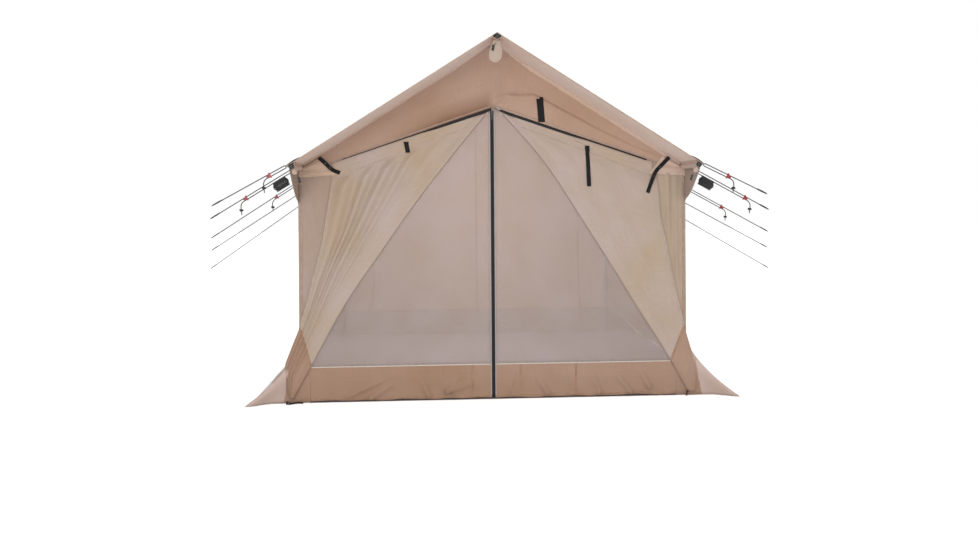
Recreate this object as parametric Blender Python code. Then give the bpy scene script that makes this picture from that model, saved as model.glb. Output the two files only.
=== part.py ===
"""Canvas wall tent on a tube frame, with its door flaps tied back and its guy lines out.

The front faces -Y, +X is to the right of someone who stands before the door, and the
origin is on the ground under the middle of the tent. All lengths are in metres.
"""
import math

import bpy
import bmesh
from mathutils import Vector

# The tent as a whole
tent_width = 2.44
tent_length = 3.05
ridge_height = 2.243
eave_height = 1.468
front_overhang = 0.43
rear_overhang = 0.06
eave_lip = 0.012

# Cloth and the gap that two pieces in touch keep
canvas = 0.0015
seat = 0.0003

# Frame tubes, their sleeves and feet
pole_diameter = 0.028
pole_wall = 0.0015
sleeve_wall = 0.003
sleeve_reach = 0.095
ridge_sleeve_reach = 0.075
pole_end_gap = 0.003
plate_size = 0.062
plate_thickness = 0.004
plate_margin = 0.002
cap_proud = 0.006
cap_rim = 0.0012
cap_plug = 0.02
tube_sides = 12
crease_angle = math.radians(40)
aligned_share = 0.9
cut_overrun = 0.004

# Gable panel over the door
gable_depth = 0.405
gable_edge_depth = 0.045
round_pole_shares = (0.0, 0.5, 0.87, 1.0, 2.0)

# Roof cloth
roof_sag = 0.012

# Side walls, with the sod cloth turned out on the ground and the ear under the overhang
sod_reach = 0.28
sod_height = 0.35
sod_power = 1.3
sod_row_shares = (0.0, 0.11, 0.26, 0.44, 0.7, 1.0)
sod_ripple = 0.012
sod_ripple_count = 9
least_lean_share = 0.12
hem_lift = 0.003
wall_row_shares = (0.35, 0.7, 1.0)
wall_bulge = 0.012
ear_depth = 0.215
ear_reach = 0.41
ear_power = 0.66
ear_row_shares = (0.2, 0.5, 0.8, 1.0)

# Rear wall
rear_fold = 0.006
rear_fold_count = 7
rear_flare_power = 3
rear_row_shares = (0.3, 0.65, 1.0)

# Door leaves of netting, with the skirt and the zip between them
leaf_outer_inset = 0.055
leaf_top_gap = 0.012
leaf_bottom_gap = 0.012
leaf_lap = 0.012
skirt_height = 0.22
zip_width = 0.024
zip_slider_length = 0.026
zip_slider_width = 0.014
zip_slider_thickness = 0.007
zip_tab_length = 0.045
zip_tab_width = 0.009
zip_tab_thickness = 0.002

# Storm flaps, folded back over the front panels
flap_top_drop = 0.022
flap_corner_drop = 0.053
flap_corner_inset = 0.208
flap_foot_height = 0.03
flap_foot_width = 0.008
fold_top_inset = 0.045
fold_foot_in = 0.012
fold_bow = {"left": 0.095, "right": 0.055}
fold_relief = {"left": 0.018, "right": 0.009}
fold_count = {"left": 4, "right": 3}
relief_run_in = 0.16
flap_swell_power = 1.2
flap_wave_share = 0.45
flap_calm_share = 0.12
flap_top_row_share = 0.04

# Webbing straps
strap_thickness = 0.0018
strap_relief_run = 0.1
short_tab_drop = 0.056
short_tab_offset = 0.55
short_tab_width = 0.028
side_strap_length = 0.262
side_strap_offset = 0.592
side_strap_width = 0.027
gable_strap_length = 0.158
gable_strap_offset = 0.3
gable_strap_rise = 0.165
gable_strap_width = 0.042
tie_width = 0.027
tie_rise = 0.008
tie_out = 0.075
tie_drop = {"left": 0.03, "right": 0.15}
tie_in = {"left": 0.045, "right": 0.035}
tongue_length = 0.13
tongue_width = 0.07
tongue_setback = 0.05
tongue_tip_share = 0.25
tongue_row_shares = (0.0, 0.4, 0.73, 0.84, 0.93, 1.0)

# Guy lines: cord, its eye at the far end, its turn at the eave and its tail
cord_diameter = 0.006
cord_start_gap = 0.0005
guy_row_shares = (0.0, 1 / 3, 2 / 3, 1.0)
guy_corner_inset = 0.03
guy_reach = {"left": (0.42, 0.515, 0.733, 0.951, 1.181), "right": (0.381, 0.522, 0.851, 1.18, 1.525)}
guy_fall = {"left": (0.232, 0.315, 0.475, 0.614, 0.832), "right": (0.186, 0.286, 0.466, 0.639, 0.889)}
slider_place = {"left": (0.115, 0.36, 0.33), "right": (0.17, 0.43, 0.58)}
rear_slider_place = 0.25
eye_length = 0.07
eye_width = 0.026
eye_crossing_share = 1.2
strand_spacing = 0.016
tail_run = 0.012
tail_length = 0.075
slider_length = 0.026
slider_width = 0.036
slider_tip_width = 0.006
slider_height = 0.013
slider_hole = 0.0078
slider_edge = 0.0015

# Spare cord, wound into a hank on the second line of each side
hank_turns = 4
hank_points = 18
hank_length = 0.11
hank_width = 0.054
hank_pitch = 0.0067
hank_climb_turns = 0.5
hank_place = {"left": 0.125, "right": 0.155}

# Worked out from the sizes above
half_width = tent_width / 2
pole_radius = pole_diameter / 2
bore_radius = pole_radius + seat
sleeve_radius = bore_radius + sleeve_wall
pitch_angle = math.atan2(ridge_height - eave_height, half_width)
roof_reach = half_width + canvas / 2 + eave_lip
front_y = -(tent_length + rear_overhang - front_overhang - cap_proud) / 2
rear_y = front_y + tent_length
roof_front_y = front_y - front_overhang
roof_rear_y = rear_y + rear_overhang
frame_clear = (sleeve_radius + canvas / 2 + seat) / math.cos(pitch_angle)
wall_seat = canvas / 2 + seat
leg_x = half_width - wall_seat - sleeve_radius
frame_front_y = front_y + wall_seat + sleeve_radius
frame_rear_y = rear_y - wall_seat - sleeve_radius
leaf_y = front_y + canvas + seat
leaf_outer = half_width - leaf_outer_inset
flap_y = front_y - canvas / 2 - seat
cord_radius = cord_diameter / 2


def roof_z(x):
    """Height of the middle of the roof cloth."""
    return ridge_height - (ridge_height - eave_height) * abs(x) / half_width


def roof_under_z(x):
    """Height at which a wall that hangs from the roof ends, just under its cloth."""
    return roof_z(x) - canvas / 2 / math.cos(pitch_angle) - seat


def hem_z(x):
    """Height of the gable's slanted hem, where the door is zipped on."""
    top = ridge_height - gable_depth
    return top + (eave_height - gable_edge_depth - top) * abs(x) / half_width


def flare_share(z):
    """The share of its full reach that the sod cloth stands out at a height."""
    return max(0.0, 1 - z / sod_height) ** sod_power


def flare(z):
    """How far the sod cloth stands out from the wall at a height."""
    return sod_reach * flare_share(z)


def inside_share(y):
    """How far along the tent a place is, from 0 at the front wall to 1 at the rear wall."""
    return min(max((y - front_y) / (rear_y - front_y), 0.0), 1.0)


def sod_heights():
    """Heights of the cloth's rows in its flared foot, shared by the walls that meet at a corner."""
    return [blend(hem_lift, sod_height, share) for share in sod_row_shares]


def corner_x(z):
    """Where a front or rear panel ends against the inner face of the flared side wall."""
    lean = sod_reach * sod_power / sod_height * max(least_lean_share, 1 - z / sod_height) ** (sod_power - 1)
    return half_width + flare(z) - canvas / 2 * math.hypot(1.0, lean) - 2 * seat


def smoothstep(value):
    """A soft ramp from 0 to 1."""
    value = min(max(value, 0.0), 1.0)
    return value * value * (3 - 2 * value)


def blend(start, end, share):
    """The point or number at a share of the way from start to end."""
    return start + (end - start) * share


ridge_axis_z = ridge_height - frame_clear
eave_axis_z = roof_z(leg_x) - frame_clear


# Materials
def finish(name, color, roughness, metallic=0.0):
    """A Principled material with one colour."""
    made = bpy.data.materials.new(name)
    made.use_nodes = True
    shader = made.node_tree.nodes["Principled BSDF"]
    shader.inputs["Base Color"].default_value = (*color, 1.0)
    shader.inputs["Roughness"].default_value = roughness
    shader.inputs["Metallic"].default_value = metallic
    return made


# Building blocks
def add_object(name, mesh, material, smooth=False):
    """Put a mesh into the scene as a named piece."""
    piece = bpy.data.objects.new(name, mesh)
    bpy.context.scene.collection.objects.link(piece)
    if material:
        mesh.materials.append(material)
    if smooth:
        mesh.shade_smooth()
        mesh.set_sharp_from_angle(angle=crease_angle)
    return piece


def from_bmesh(name, shape, material, smooth=False):
    """Turn a bmesh into a piece whose faces point outwards."""
    bmesh.ops.recalc_face_normals(shape, faces=shape.faces)
    mesh = bpy.data.meshes.new(name)
    shape.to_mesh(mesh)
    shape.free()
    return add_object(name, mesh, material, smooth)


def cloth(name, material, place, columns, rows, thickness=canvas):
    """A sheet from a grid of points, given its thickness by a Solidify modifier.

    place(u, v) gives the middle of the cloth; columns and rows are what u and v run through.
    """
    shape = bmesh.new()
    grid = [[shape.verts.new(place(u, v)) for u in columns] for v in rows]
    for low, high in zip(grid, grid[1:]):
        for index in range(len(low) - 1):
            shape.faces.new((low[index], low[index + 1], high[index + 1], high[index]))
    mesh = bpy.data.meshes.new(name)
    shape.to_mesh(mesh)
    shape.free()
    piece = add_object(name, mesh, material)
    mesh.shade_smooth()
    solidify = piece.modifiers.new("thickness", "SOLIDIFY")
    solidify.thickness = thickness
    solidify.offset = 0.0
    solidify.use_rim = True
    return piece


def even(count):
    """Shares from 0 to 1 in equal steps."""
    return [index / count for index in range(count + 1)]


def ring(shape, centre, side, up, radius, sides=tube_sides):
    """A ring of points round a centre."""
    return [
        shape.verts.new(
            centre
            + side * radius * math.cos(2 * math.pi * index / sides)
            + up * radius * math.sin(2 * math.pi * index / sides)
        )
        for index in range(sides)
    ]


def bridge(shape, first, second):
    """Quads between two rings."""
    count = len(first)
    for index in range(count):
        after = (index + 1) % count
        shape.faces.new((first[index], first[after], second[after], second[index]))


def across(direction):
    """Two directions square to a tube's run, the first along Y where that is possible."""
    side = Vector((0, 1, 0)) if abs(direction.y) < aligned_share else Vector((1, 0, 0))
    up = direction.cross(side).normalized()
    return up.cross(direction).normalized(), up


def turned(name, material, start, direction, profile, closed=True, sides=tube_sides):
    """A turned piece: profile holds (distance along, radius) pairs; open profiles get flat ends."""
    side, up = across(direction)
    shape = bmesh.new()
    rings = [ring(shape, start + direction * along, side, up, radius, sides) for along, radius in profile]
    for first, second in zip(rings, rings[1:]):
        bridge(shape, first, second)
    if closed:
        bridge(shape, rings[-1], rings[0])
    else:
        shape.faces.new(rings[0])
        shape.faces.new(rings[-1])
    return from_bmesh(name, shape, material, smooth=True)


def tube(name, material, start, end):
    """A frame pole, open at both ends."""
    run = end - start
    inner = pole_radius - pole_wall
    profile = [(0.0, inner), (0.0, pole_radius), (run.length, pole_radius), (run.length, inner)]
    return turned(name, material, start, run.normalized(), profile)


def rod(name, material, start, end, radius):
    """A solid round bar, used for sleeves and as a cutter."""
    run = end - start
    profile = [(0.0, radius), (run.length, radius)]
    return turned(name, material, start, run.normalized(), profile, closed=False)


def box(name, material, low, high):
    """A block between two corners."""
    shape = bmesh.new()
    bmesh.ops.create_cube(shape, size=1.0)
    size = high - low
    bmesh.ops.scale(shape, vec=size, verts=shape.verts)
    bmesh.ops.translate(shape, vec=(low + high) / 2, verts=shape.verts)
    return from_bmesh(name, shape, material)


def combine(piece, tool, operation):
    """Join or cut a piece with a tool and keep only the result."""
    modifier = piece.modifiers.new(operation.lower(), "BOOLEAN")
    modifier.object = tool
    modifier.operation = operation
    modifier.solver = "EXACT"
    graph = bpy.context.evaluated_depsgraph_get()
    result = bpy.data.meshes.new_from_object(piece.evaluated_get(graph))
    piece.modifiers.remove(modifier)
    piece.data = result
    bpy.data.objects.remove(tool)


def ribbon(name, material, path, width, wide, thickness=strap_thickness):
    """Flat webbing along a path of points, wide across the given direction."""

    def place(u, index):
        return path[index] + wide * width * (u - 0.5)

    return cloth(name, material, place, even(2), range(len(path)), thickness)


def smooth_route(points, steps):
    """Points read from a Catmull-Rom curve through a route."""
    route = []
    last = len(points) - 1
    for index in range(last):
        before = points[max(index - 1, 0)]
        here = points[index]
        there = points[index + 1]
        after = points[min(index + 2, last)]
        for step in range(steps):
            t = step / steps
            route.append(
                0.5
                * (
                    2 * here
                    + (there - before) * t
                    + (2 * before - 5 * here + 4 * there - after) * t * t
                    + (3 * here - 3 * there - before + after) * t ** 3
                )
            )
    route.append(points[last])
    return route


def cord(name, material, points, diameter, resolution=2):
    """A round cord along a list of points, closed at its ends."""
    curve = bpy.data.curves.new(name, "CURVE")
    curve.dimensions = "3D"
    curve.bevel_depth = diameter / 2
    curve.bevel_resolution = resolution
    curve.use_fill_caps = True
    spline = curve.splines.new("POLY")
    spline.points.add(len(points) - 1)
    for target, point in zip(spline.points, points):
        target.co = (*point, 1.0)
    piece = bpy.data.objects.new(name, curve)
    bpy.context.scene.collection.objects.link(piece)
    curve.materials.append(material)
    return piece


# Frame
def frame_poles(steel):
    """Ridge and eave poles, run out to the front edge of the roof, and their caps."""
    inset = Vector((0, cap_rim, 0))
    places = {
        "ridge": Vector((0, 0, ridge_axis_z)),
        "eave_left": Vector((-leg_x, 0, eave_axis_z)),
        "eave_right": Vector((leg_x, 0, eave_axis_z)),
    }
    for name, place in places.items():
        front = place + Vector((0, roof_front_y, 0)) + inset
        rear = place + Vector((0, rear_y - wall_seat, 0))
        tube(f"{name}_pole", steel, front, rear)
    return places


def pole_caps(rubber, places):
    """Caps pushed into the front ends of the three long poles."""
    plug_radius = pole_radius - pole_wall - seat
    for name, place in places.items():
        start = place + Vector((0, roof_front_y - cap_proud, 0))
        face = cap_proud + cap_rim - seat
        profile = [
            (0.0, pole_radius - cap_rim),
            (cap_rim, pole_radius),
            (face, pole_radius),
            (face, plug_radius),
            (face + cap_plug, plug_radius),
        ]
        turned(f"pole_cap_{name}", rubber, start, Vector((0, 1, 0)), profile, closed=False)


def rafters_and_legs(steel, end, frame_y):
    """The sloping rafters and the upright legs of one end frame."""
    ridge = Vector((0, frame_y, ridge_axis_z))
    gap = pole_radius + pole_end_gap
    for side, sign in (("left", -1), ("right", 1)):
        eave = Vector((sign * leg_x, frame_y, eave_axis_z))
        slope = (eave - ridge).normalized()
        tube(f"rafter_{end}_{side}", steel, ridge + slope * gap, eave - slope * gap)
        top = eave - Vector((0, 0, gap))
        foot = Vector((eave.x, frame_y, plate_thickness / 2))
        leg = tube(f"leg_{end}_{side}", steel, foot, top)
        inward = -sign
        along = 1 if end == "front" else -1
        reach = pole_radius + plate_margin
        corner = Vector((eave.x - inward * reach, frame_y - along * reach, 0))
        other = corner + Vector((inward * plate_size, along * plate_size, plate_thickness))
        low = Vector((min(corner.x, other.x), min(corner.y, other.y), 0))
        high = Vector((max(corner.x, other.x), max(corner.y, other.y), plate_thickness))
        combine(leg, box("foot_plate", steel, low, high), "UNION")


def fitting(name, steel, centre, arms):
    """An angle fitting: welded sleeves round a centre, bored for the poles."""
    made = None
    for direction, back, reach in arms:
        sleeve = rod(name, steel, centre - direction * back, centre + direction * reach, sleeve_radius)
        if made is None:
            made = sleeve
        else:
            combine(made, sleeve, "UNION")
    for direction, back, reach in arms:
        start = centre - direction * (back + cut_overrun if back else 0.0)
        bore = rod("bore", steel, start, centre + direction * (reach + cut_overrun), bore_radius)
        combine(made, bore, "DIFFERENCE")
    made.data.shade_smooth()
    made.data.set_sharp_from_angle(angle=crease_angle)


def angle_fittings(steel, end, frame_y):
    """The ridge fitting and the two eave fittings of one end frame."""
    inward = Vector((0, 1 if end == "front" else -1, 0))
    back = sleeve_radius - cap_rim
    ridge = Vector((0, frame_y, ridge_axis_z))
    slope_x, slope_z = math.cos(pitch_angle), math.sin(pitch_angle)
    arms = [
        (inward, back, ridge_sleeve_reach),
        (Vector((slope_x, 0, -slope_z)), 0.0, sleeve_reach),
        (Vector((-slope_x, 0, -slope_z)), 0.0, sleeve_reach),
    ]
    fitting(f"ridge_fitting_{end}", steel, ridge, arms)
    for side, sign in (("left", -1), ("right", 1)):
        eave = Vector((sign * leg_x, frame_y, eave_axis_z))
        arms = [
            (inward, back, ridge_sleeve_reach),
            (Vector((-sign * slope_x, 0, slope_z)), 0.0, sleeve_reach),
            (Vector((0, 0, -1)), 0.0, sleeve_reach),
        ]
        fitting(f"eave_fitting_{end}_{side}", steel, eave, arms)


# Canvas
def roof(fabric):
    """The two slopes of the roof, seamed over the ridge and a little slack between the frames."""
    start = (canvas * math.sin(pitch_angle) + seat) / 2
    columns = [share * (leg_x - start) / (roof_reach - start) for share in even(6)] + [1.0]

    for side, sign in (("left", -1), ("right", 1)):

        def place(u, v, sign=sign):
            x = blend(start, roof_reach, u)
            y = blend(roof_front_y, roof_rear_y, v)
            slack = math.sin(math.pi * min(x / leg_x, 1.0)) * math.sin(math.pi * inside_share(y))
            return Vector((sign * x, y, roof_z(x) - roof_sag * slack))

        overhang_share = front_overhang / (roof_rear_y - roof_front_y)
        rear_share = rear_overhang / (roof_rear_y - roof_front_y)
        inner_rows = [blend(overhang_share, 1 - rear_share, share) for share in even(6)]
        cloth(f"roof_{side}", fabric, place, columns, [0.0, *inner_rows, 1.0])


def gable(fabric):
    """The front gable, from the roof down to the slanted hem, let in round the ridge pole."""
    round_pole = pole_radius + seat
    end = leg_x - round_pole
    near = [round_pole * share for share in round_pole_shares]
    far = [blend(near[-1], end, share) for share in even(7)][1:]
    places = [-x for x in reversed(near[1:] + far)] + near + far

    def top(x):
        if abs(x) > round_pole:
            return roof_under_z(x)
        return ridge_axis_z - math.sqrt(max(round_pole ** 2 - x ** 2, 0.0)) - seat

    def place(u, v):
        return Vector((u, front_y, blend(hem_z(u), top(u), v)))

    cloth("gable_front", fabric, place, places, even(3))


def fold_line(side, v):
    """Point (x, z) on the line along which the flap is folded back, top to foot."""
    top_x, foot_x = fold_top_inset, half_width - fold_foot_in
    top_z = hem_z(fold_top_inset) - flap_top_drop
    x = blend(top_x, foot_x, v) + fold_bow[side] * math.sin(math.pi * v)
    return x, blend(top_z, flap_foot_height, v)


def flap_tip():
    """Where (x, z) a folded flap's free corner lies, under the gable's hem."""
    x = half_width - flap_corner_inset
    return x, hem_z(x) - flap_corner_drop


def front_panel(fabric, side, sign):
    """The fixed layer of the front, from the fold out to the corner and over the sod cloth.

    Its inner edge follows the fold, and runs on to the gable's hem above and to the ground below.
    Near the ground it stops short of the fold, so that it laps over the outer edge of the door leaf.
    """
    top = hem_z(half_width) - seat
    heights = sod_heights() + [blend(sod_height, top, share) for share in even(6)[1:]]
    inner = [fold_line(side, (top - height) / (top - hem_lift)) for height in heights]
    inner = [(min(x, leaf_outer - leaf_lap), z) for x, z in inner]
    inner[0] = (inner[0][0], hem_lift)
    inner[-1] = (inner[-1][0], hem_z(inner[-1][0]) - seat)

    def place(u, row):
        inner_x, inner_z = inner[row]
        x = blend(inner_x, corner_x(heights[row]), u)
        return Vector((sign * x, front_y, blend(inner_z, heights[row], u)))

    cloth(f"front_panel_{side}", fabric, place, even(4), range(len(heights)))


def side_wall(fabric, side, sign):
    """A side wall, its sod cloth turned out below and its ear run forward under the overhang."""
    top_z = roof_under_z(half_width + canvas / 2)
    ear_start = top_z - ear_depth
    heights = sod_heights() + [blend(sod_height, ear_start, share) for share in wall_row_shares]
    heights += [blend(ear_start, top_z, share) for share in ear_row_shares]

    def place(u, z):
        ear = ear_reach * max(0.0, (z - ear_start) / ear_depth) ** ear_power
        start = front_y - canvas / 2 - ear
        y = blend(start, rear_y + canvas / 2, u)
        inside = inside_share(y)
        ripple = sod_ripple * math.sin(math.pi * sod_ripple_count * inside) * flare_share(z)
        bulge = wall_bulge * math.sin(math.pi * inside) * math.sin(math.pi * z / top_z)
        x = half_width + flare(z) + ripple + bulge
        return Vector((sign * x, y, z))

    cloth(f"side_wall_{side}", fabric, place, even(18), heights)


def rear_wall(fabric):
    """The rear wall and its gable in one, with shallow folds."""
    edge = half_width - wall_seat
    edge_top = roof_under_z(edge)
    shares = [-1 + 2 * share for share in even(14)]

    def place(u, edge_z):
        v = (edge_z - hem_lift) / (edge_top - hem_lift)
        z = blend(hem_lift, roof_under_z(u * edge), v)
        out = u * edge + (corner_x(edge_z) - edge) * u * abs(u) ** rear_flare_power
        wave = math.sin(math.pi * rear_fold_count * u) ** 2
        fold = rear_fold * wave * (1 - abs(u)) * math.sin(math.pi * v)
        return Vector((out, rear_y + fold, z))

    heights = sod_heights() + [blend(sod_height, edge_top, share) for share in rear_row_shares]
    cloth("rear_wall", fabric, place, shares, heights)


def storm_flap(fabric, side, sign):
    """A door flap folded back on its slanted fold, with soft folds that run together at its foot."""
    tip_x, tip_z = flap_tip()
    foot_x = half_width - fold_foot_in

    def place(u, v):
        fold_x, fold_z = fold_line(side, v)
        swell = math.sin(math.pi * v / 2) ** flap_swell_power
        edge_x = blend(tip_x, foot_x + flap_foot_width, swell)
        edge_z = blend(tip_z, flap_foot_height, v)
        x, z = blend(fold_x, edge_x, u), blend(fold_z, edge_z, u)
        distance = math.hypot(edge_x - fold_x, edge_z - fold_z) * u
        ramp = smoothstep(distance / relief_run_in) * smoothstep(v / flap_calm_share)
        wave = 1 - flap_wave_share * (1 + math.cos(2 * math.pi * fold_count[side] * u))
        relief = fold_relief[side] * ramp * wave
        return Vector((sign * x, flap_y - canvas / 2 - relief, z))

    cloth(f"storm_flap_{side}", fabric, place, even(14), [0.0, flap_top_row_share, *even(12)[1:]])


def door_leaf(netting, fabric, side, sign):
    """One leaf of netting and the skirt below it."""
    inner = zip_width + 2 * seat if side == "left" else seat

    def net(u, v):
        x = blend(inner, leaf_outer, u)
        return Vector((sign * x, leaf_y, blend(skirt_height + seat, hem_z(x) - leaf_top_gap, v)))

    def skirt(u, v):
        x = blend(inner, leaf_outer, u)
        return Vector((sign * x, leaf_y, blend(leaf_bottom_gap, skirt_height, v)))

    cloth(f"mesh_leaf_{side}", netting, net, even(4), even(4))
    cloth(f"leaf_skirt_{side}", fabric, skirt, even(4), even(2))


def door_zip(nylon, zinc):
    """The zip down the middle of the door, carried by the left leaf, and its slider with a pull."""
    top = hem_z(zip_width) - leaf_top_gap
    low = Vector((-zip_width - seat, leaf_y - canvas / 2, leaf_bottom_gap))
    high = Vector((-seat, leaf_y + canvas / 2, top))
    box("zip_tape", nylon, low, high)
    middle = -zip_width / 2 - seat
    back = leaf_y - canvas / 2 - seat
    body_low = Vector((middle - zip_slider_width / 2, back - zip_slider_thickness, top - zip_slider_length))
    body_high = Vector((middle + zip_slider_width / 2, back, top))
    slider = box("zip_pull", zinc, body_low, body_high)
    tab_front = back - zip_slider_thickness / 2
    tab_top = body_low.z + zip_slider_length / 2
    tab_low = Vector((middle - zip_tab_width / 2, tab_front - zip_tab_thickness, tab_top - zip_tab_length))
    tab_high = Vector((middle + zip_tab_width / 2, tab_front, tab_top))
    combine(slider, box("tab", zinc, tab_low, tab_high), "UNION")


# Straps
def straps(webbing):
    """Webbing on the gable and on the storm flaps, and the two ties at the flaps' corners."""
    across_x = Vector((1, 0, 0))
    on_gable = front_y - canvas / 2 - seat - strap_thickness / 2
    on_flap = flap_y - canvas - seat - strap_thickness / 2

    hem = hem_z(gable_strap_offset)
    top = hem + gable_strap_rise
    path = [Vector((gable_strap_offset, on_gable, top - gable_strap_length * share)) for share in even(3)]
    ribbon("gable_strap", webbing, path, gable_strap_width, across_x)

    tip_x, tip_z = flap_tip()

    def flap_top(x):
        start_z = hem_z(fold_top_inset) - flap_top_drop
        return blend(start_z, tip_z, (x - fold_top_inset) / (tip_x - fold_top_inset))

    def in_front(side, drop):
        return on_flap - fold_relief[side] * smoothstep(drop / strap_relief_run)

    def hanging(side, x, length, count):
        drops = [length * share for share in even(count)]
        return [Vector((x, in_front(side, drop), flap_top(abs(x)) - drop)) for drop in drops]

    path = hanging("left", -short_tab_offset, short_tab_drop, 2)
    ribbon("flap_tab_left", webbing, path, short_tab_width, across_x)
    path = hanging("right", side_strap_offset, side_strap_length, 5)
    ribbon("flap_strap_right", webbing, path, side_strap_width, across_x)

    for side, sign in (("left", -1), ("right", 1)):
        drop = tie_drop[side]
        route = [
            Vector((tip_x + tie_out, on_flap, tip_z + tie_rise + tie_out)),
            Vector((tip_x, on_flap, tip_z)),
            Vector((tip_x - tie_in[side], in_front(side, drop), tip_z - drop)),
        ]
        path = [Vector((sign * point.x, point.y, point.z)) for point in smooth_route(route, 3)]
        wide = Vector((sign * math.sin(math.pi / 4), 0, -math.cos(math.pi / 4))).normalized()
        ribbon(f"corner_tie_{side}", webbing, path, tie_width, wide)


def ridge_tongue(fabric):
    """The small round-ended tongue that hangs under the ridge at the front."""
    y = roof_front_y + tongue_setback
    top = ridge_axis_z - pole_radius - 3 * seat
    rounded = tongue_width / 2

    def place(u, v):
        z = top - tongue_length * v
        from_end = max(rounded - (tongue_length - (top - z)), 0.0)
        half = math.sqrt(max(rounded ** 2 - from_end ** 2, (rounded * tongue_tip_share) ** 2))
        return Vector((half * (2 * u - 1), y, z))

    cloth("ridge_tongue", fabric, place, even(2), tongue_row_shares)


# Guy lines
def guy_rows():
    """Where the five lines of a side leave the eave."""
    rows = [roof_front_y + guy_corner_inset]
    return rows + [front_y + tent_length * share for share in guy_row_shares]


def guy_frame(side, sign, number):
    """Start, direction and length of a guy line."""
    start_x = roof_reach + cord_start_gap + cord_radius
    start = Vector((sign * start_x, guy_rows()[number], roof_z(roof_reach)))
    end = start + Vector((sign * guy_reach[side][number], 0, -guy_fall[side][number]))
    run = end - start
    return start, run.normalized(), run.length


def slider_distance(side, number):
    """How far along its line a slider rests."""
    if number < len(slider_place[side]):
        return slider_place[side][number]
    return rear_slider_place


def below(along):
    """The direction square to a guy line that points down."""
    down = along.cross(Vector((0, 1, 0))).normalized()
    return -down if down.z > 0 else down


def guy_line(nylon, side, sign, number):
    """One line: an eye at the far end, the main strand, the turn at the eave, and back to the slider.

    The two strands run one above the other, the main strand on top.
    """
    start, along, length = guy_frame(side, sign, number)
    down = below(along)
    turn = strand_spacing / 2

    def at(distance, under, aside=0.0, drop=0.0):
        return start + along * distance + down * under + Vector((0, -aside, -drop))

    half = eye_width / 2
    eye = smooth_route(
        [
            at(length - eye_length, -turn, 2 * cord_diameter),
            at(length - eye_length / 2, -turn, half + cord_diameter),
            at(length, -turn),
            at(length - eye_length / 2, -turn, -half),
            at(length - eye_length * eye_crossing_share, -turn),
        ],
        2,
    )
    angles = [math.pi * share for share in even(4)]
    bend = [at(turn - turn * math.sin(angle), -turn * math.cos(angle)) for angle in angles]
    reach = slider_distance(side, number) + slider_length / 2 + cord_diameter
    tail = smooth_route(
        [
            at(reach, turn),
            at(reach + tail_run, turn, drop=cord_diameter),
            at(reach + tail_run + cord_diameter, turn, drop=tail_length / 3),
            at(reach + tail_run, turn, drop=tail_length),
        ],
        2,
    )
    cord(f"guy_line_{side}_{number + 1}", nylon, eye + bend + tail, cord_diameter)


def guy_slider(plastic, side, sign, number):
    """A line runner: a plate that narrows away from the tent, with a hole for each strand."""
    start, along, _ = guy_frame(side, sign, number)
    down = below(along)
    centre = start + along * slider_distance(side, number)
    shape = bmesh.new()
    bmesh.ops.create_cube(shape, size=1.0)
    for vert in shape.verts:
        width = slider_width if vert.co.x < 0 else slider_tip_width
        offset = along * vert.co.x * slider_length + Vector((0, 1, 0)) * vert.co.y * slider_height
        vert.co = centre + offset + down * vert.co.z * width

    def runs_across(edge):
        direction = (edge.verts[0].co - edge.verts[1].co).normalized()
        return abs(direction.y) > aligned_share

    edges = [edge for edge in shape.edges if runs_across(edge)]
    bmesh.ops.bevel(shape, geom=edges, offset=slider_edge, segments=2, affect="EDGES")
    block = from_bmesh(f"guy_slider_{side}_{number + 1}", shape, plastic)
    for under in (-strand_spacing / 2, strand_spacing / 2):
        middle = centre + down * under
        reach = along * (slider_length / 2 + cut_overrun)
        combine(block, rod("hole", None, middle - reach, middle + reach, slider_hole / 2), "DIFFERENCE")


def hank(nylon, side, sign):
    """Spare cord wound in flat loops: it spirals in on one layer and out again on the next.

    It hangs from the line, with its last loop against the lower strand.
    """
    number = 1
    start, along, _ = guy_frame(side, sign, number)
    down = below(along)
    run = hank_length / 2 - hank_width / 2
    half = hank_turns / 2
    turns = []
    for index in range(hank_turns * hank_points + 1):
        turn = index / hank_points
        inward = turn if turn < half else hank_turns - turn
        radius = hank_width / 2 - cord_radius - hank_pitch * inward
        layer = hank_pitch * smoothstep((turn - half) / hank_climb_turns + 0.5)
        angle = 2 * math.pi * (turn % 1.0)
        end = math.copysign(run, math.cos(angle))
        place = along * (end + radius * math.cos(angle)) + down * radius * math.sin(angle)
        turns.append(place + Vector((0, layer - hank_pitch, 0)))
    top = max(-place.dot(down) for place in turns)
    under = strand_spacing / 2 + cord_diameter + seat + top
    middle = start + along * hank_place[side] + down * under
    points = [middle + place for place in turns]
    least = min(
        (points[i] - points[j]).length
        for i in range(len(points))
        for j in range(i + hank_points // 2, len(points))
    )
    print(f"spare_cord_{side}: least gap to itself {(least - cord_diameter) * 1000:.2f} mm")
    cord(f"spare_cord_{side}", nylon, points, cord_diameter, resolution=1)


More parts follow.
